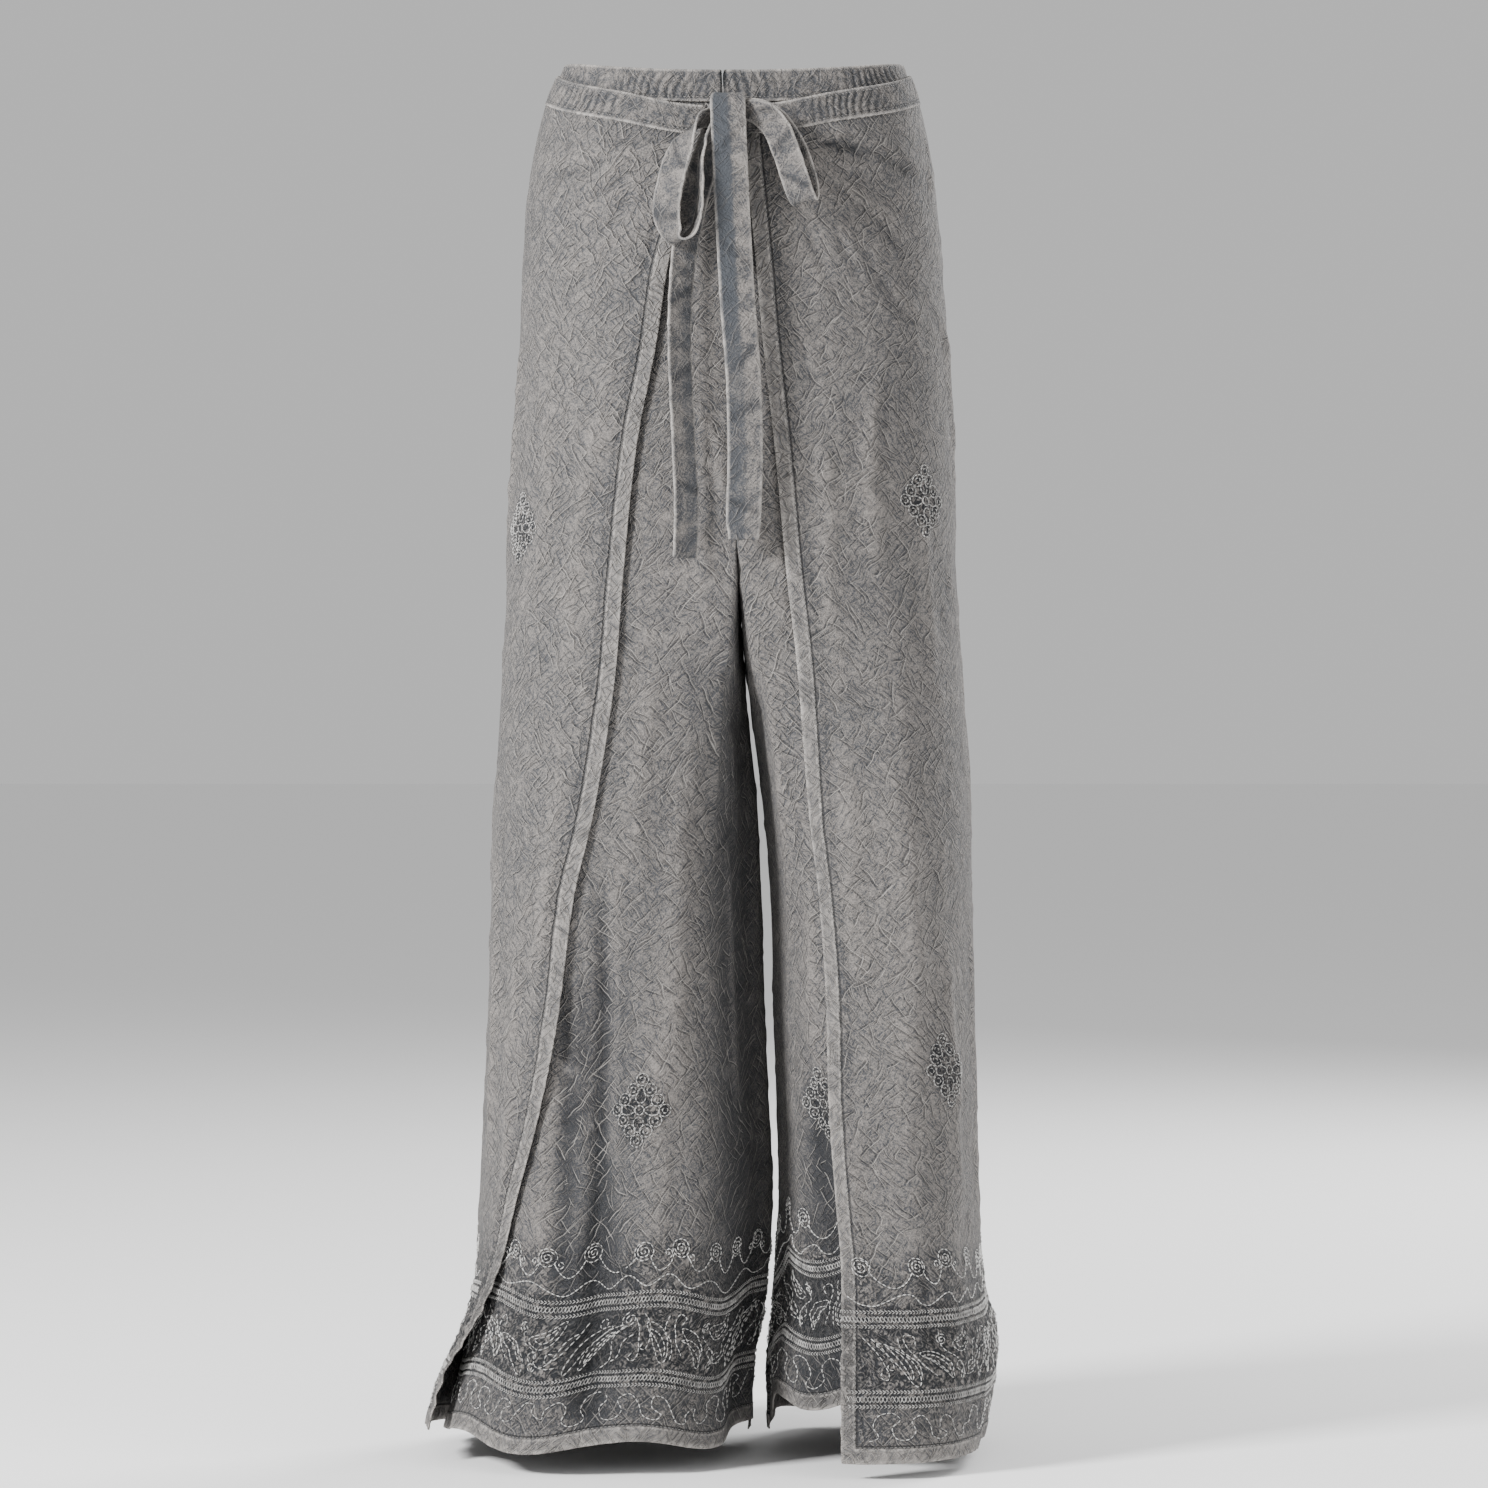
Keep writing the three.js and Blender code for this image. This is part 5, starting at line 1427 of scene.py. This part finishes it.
def vine_lines(first, last, seed, places):
    """A wavy stem above the braids, and rosettes on curled stalks, single or in threes."""
    dice, lines = np.random.default_rng(seed + 70), []
    run = np.arange(first + 3, last - 3, 2.0)
    low = VINE_HEIGHT + 4.2 * np.sin(run / 6.2 + 1.6 * np.sin(run / 31 + seed))
    lines.append(zipped(run, low))
    for (u, h, three), following in zip(places, places[1:] + [None]):
        lines.append(turned(spiral(5.6), dice.uniform(0, 360), dice.uniform(0.85, 1.1), (u, h)))
        lines.append(closing(arc((u, h), 6.6, 0, 330)))
        if three:
            lines.append(turned(spiral(3.6, 1.6), 40, 1, (u + 9.5, h - 4)))
            lines.append(turned(spiral(3.4, 1.6), 140, 1, (u - 9, h - 5)))
        if following is not None:
            t = np.linspace(0, 1, 12)
            dip = 11 * np.sin(np.pi * t) ** 0.8
            x, y = mix(u + 5, following[0] - 5, t), mix(h - 4, following[1] - 4, t) - dip
            lines.append(zipped(x, y))
    return lines


def medallion_lines():
    """Rings that touch along a diamond, four petals inside it and a ring in the middle."""
    lines, (wide, high) = [], MEDALLION_HALF
    corners = np.array([(0, high - 5), (wide - 5, 0), (0, 5 - high), (5 - wide, 0)], dtype=float)
    for k in range(4):
        for share in (0, 1 / 3, 2 / 3):
            centre = mix(corners[k], corners[(k + 1) % 4], share)
            lines.append(closing(arc(centre, 4.5, 20 * k, 340 + 20 * k, 12)))
            lines.append(arc(centre, 2.1, 40 * k, 300 + 40 * k, 7))
        petal = mix(corners[k], np.zeros(2), 0.52)
        lines.append(turned(bean(11, 7), (0, 90, 180, 270)[k], 1, petal))
    lines.append(closing(arc((0, 0), 3.4, 0, 340, 10)))
    return lines


print("the border repeats after", sum(step for step, _ in BORDER), "mm, with uneven copies")

# %% [markdown]
# A braid is a flat cord that was couched down in one pass: a slanted rope along each edge,
# and between them a chain of rings that two crossing waves make.


# %% Stitches of one hem
def rope(first, last, height, lean):
    """Slanted stitches, 2.5 mm apart, along a line at one height above the hem."""
    end = np.array([-1, 0, 1])
    return zipped(np.arange(first, last, 2.5)[:, None] + 1.05 * end, height + 0.7 * lean * end)


def chain(first, last, height):
    """Two waves in opposite phase, 5.4 mm long and 2.1 mm high, cut into 24 mm threads."""
    parts = []
    for phase in (0, np.pi):
        u = np.arange(first, last, 24.0)[:, None] + np.linspace(0, 24.4, 33)[None, :]
        u = np.minimum(u, last)
        parts.append(zipped(u, height + 2.1 * np.sin(2 * np.pi * u / 5.4 + phase)))
    return np.concatenate(parts)


def hem_mapping(panel):
    """Places (u, height above the hem) on the cloth, lifted off it by out."""
    def on_cloth(flat, out):
        u, h = flat[..., 0], flat[..., 1]
        s = share_at(panel, u, -960.0 + 0 * u)
        z = hem_height(panel, s) + h
        s = share_at(panel, u, z)
        z = hem_height(panel, s) + h
        return surface(panel, share_at(panel, u, z), z, out)
    return on_cloth


def face_mapping(panel):
    """Places (u, z) on the cloth, lifted off it by out."""
    return lambda flat, out: surface(panel, share_at(panel, flat[..., 0], flat[..., 1]), flat[..., 1], out)


for seed, (name, panel) in enumerate(PANELS.items()):
    first, last = panel["ends"]
    on_hem, on_face = hem_mapping(panel), face_mapping(panel)
    parts, muted = [], []
    for height in (LOW_BRAID, HIGH_BRAID):
        rows = (5.7, 1), (4.5, -1), (-4.5, 1), (-5.7, -1)
        ropes = np.concatenate([rope(first, last, height + up, lean) for up, lean in rows])
        muted.append(beads(ropes, on_hem, 0.42, 0.35))
        muted.append(beads(chain(first, last, height), on_hem, 0.42, 0.45))
    stitches = np.concatenate([running(line, 3.1, 0.8) for line in border_lines(first, last - 8, seed)])
    parts.append(beads(stitches, on_hem, 0.50, 0.30))
    vine = vine_lines(first, last - 8, seed, panel["rosettes"])
    stitches = np.concatenate([running(line, 3.0, 0.5) for line in vine])
    parts.append(beads(stitches, on_hem, 0.58, 0.35))
    for face, place, z in MEDALLIONS[name]:
        centre = np.array([ruler_at(panel, place, z, face), z])
        stitches = np.concatenate([running(line + centre, 2.7, 0.25) for line in medallion_lines()])
        muted.append(beads(stitches, on_face, 0.60, 0.38))
    panel["threads"] = []
    for what, thread, group in (("embroidery", BRIGHT_THREAD, parts), ("braids", MUTED_THREAD, muted)):
        piece = make_piece(f"{name}_{what}", *join(group), "cloth", thread)
        panel["threads"].append(piece)
        print(piece.name, "has", len(piece.data.polygons), "faces")

# %% [markdown]
# Topstitching holds every turned edge. It is finer and duller than the embroidery: stitches
# of 2.3 mm with short gaps, 11 mm in from the panels' edges and 2 mm in on the ties.


# %% Topstitches on the panels
SEWN = 0.34, 0.12  # the thread's radius and how far it stands off the cloth
FROM_EDGE, FROM_FOOT = 10.6, 11.2


def dashes(start, end, pitch=3.1, stitch=2.3):
    """Stitches of three points between two numbers along a line."""
    return np.arange(start, end, pitch)[:, None] + stitch * np.array([0, 0.5, 1])[None, :]


for name, panel in PANELS.items():
    z = dashes(-994, -62)
    down_edge = zipped(edge_at(panel, z) - FROM_EDGE, z)
    along_foot = dashes(seam_at(panel, -990.0) + 4, edge_at(panel, -990.0) - 12)
    along_foot = zipped(along_foot, FROM_FOOT)
    parts = [beads(down_edge, face_mapping(panel), *SEWN), beads(along_foot, hem_mapping(panel), *SEWN)]
    piece = make_piece(f"{name}_topstitching", *join(parts), "cloth", SEAM_THREAD)
    panel["threads"].append(piece)


# %% Topstitches on the bands and the ties
def on_grid(grid):
    """Places (row, column) on a grid of points, lifted off it along its normals."""
    normals = grid_normals(grid)
    return lambda flat, out: bilinear(grid + normals * out, flat[..., 1], flat[..., 0])


def sewn_rows(grid, shares, rise):
    """Stitches along a grid's rows, at shares of the way across it."""
    length = lengths(grid[grid.shape[0] // 2])
    columns = np.interp(dashes(1.0, length[-1] - 3), length, np.arange(len(length)))
    rows = [zipped(columns, share * (grid.shape[0] - 1)) for share in shares]
    return beads(np.concatenate(rows), on_grid(grid), SEWN[0], rise)


band_parts = []
for name, grid in BAND_GRIDS.items():
    points = grid[:, ::-1, :3] if name == "front_band_left" else grid[..., :3]
    band_parts.append(sewn_rows(points, (0.1, 0.87) if name == "back_band" else (0.87,), SEWN[1]))
tie_parts = [sewn_rows(np.swapaxes(grid, 0, 1)[:, ::-1], (0.085, 0.915), 0.1) for grid in TIE_GRIDS.values()]
for name, parts, slot in (("band", band_parts, "band"), ("bow", tie_parts, "tie")):
    make_piece(f"{name}_topstitching", *join(parts), slot, SEAM_THREAD)
    print("the", name, "has", sum(len(faces) for _, faces in parts), "faces of topstitches")

# %% [markdown]
# The studio is plain: a pale floor just under the hems, a pale world, and three soft
# lights. The strongest comes from above on the left, as in the photo, so that the creases
# get a lit side and a shaded one.

# %% Floor, world and lights
floor_z = solid_box[0][2] - 0.012
floor_mesh = bpy.data.meshes.new("floor")
FAR = 60
corners = [(-FAR, -FAR, floor_z), (FAR, -FAR, floor_z), (FAR, FAR, floor_z), (-FAR, FAR, floor_z)]
floor_mesh.from_pydata(corners, [], [(0, 1, 2, 3)])
floor = put("floor", floor_mesh)
paper = Nodes("paper").finish({"Base Color": (0.93, 0.93, 0.93, 1), "Roughness": 0.9})
floor_mesh.materials.append(paper)

world = bpy.data.worlds.new("studio")
world.use_nodes = True
world.node_tree.nodes["Background"].inputs["Color"].default_value = (1, 1, 1, 1)
world.node_tree.nodes["Background"].inputs["Strength"].default_value = 0.6
bpy.context.scene.world = world


def soft_light(name, place, target, width, power):
    """A square area light at place whose -Z axis points at target."""
    data = bpy.data.lights.new(name, "AREA")
    data.size, data.energy = width, power
    light = put(name, data)
    light.location = place
    away = np.subtract(place, target)
    tilt = np.arccos(away[2] / np.linalg.norm(away))
    light.rotation_euler = (tilt, 0, np.arctan2(away[1], away[0]) + np.pi / 2)


MIDDLE = (0, 0, -0.5)
soft_light("key", (-2.3, -1.8, 1.0), MIDDLE, 0.7, 235)
soft_light("fill", (2.4, -1.6, 0.0), MIDDLE, 1.6, 38)
soft_light("back", (2.2, 2.4, 1.2), MIDDLE, 1.4, 150)
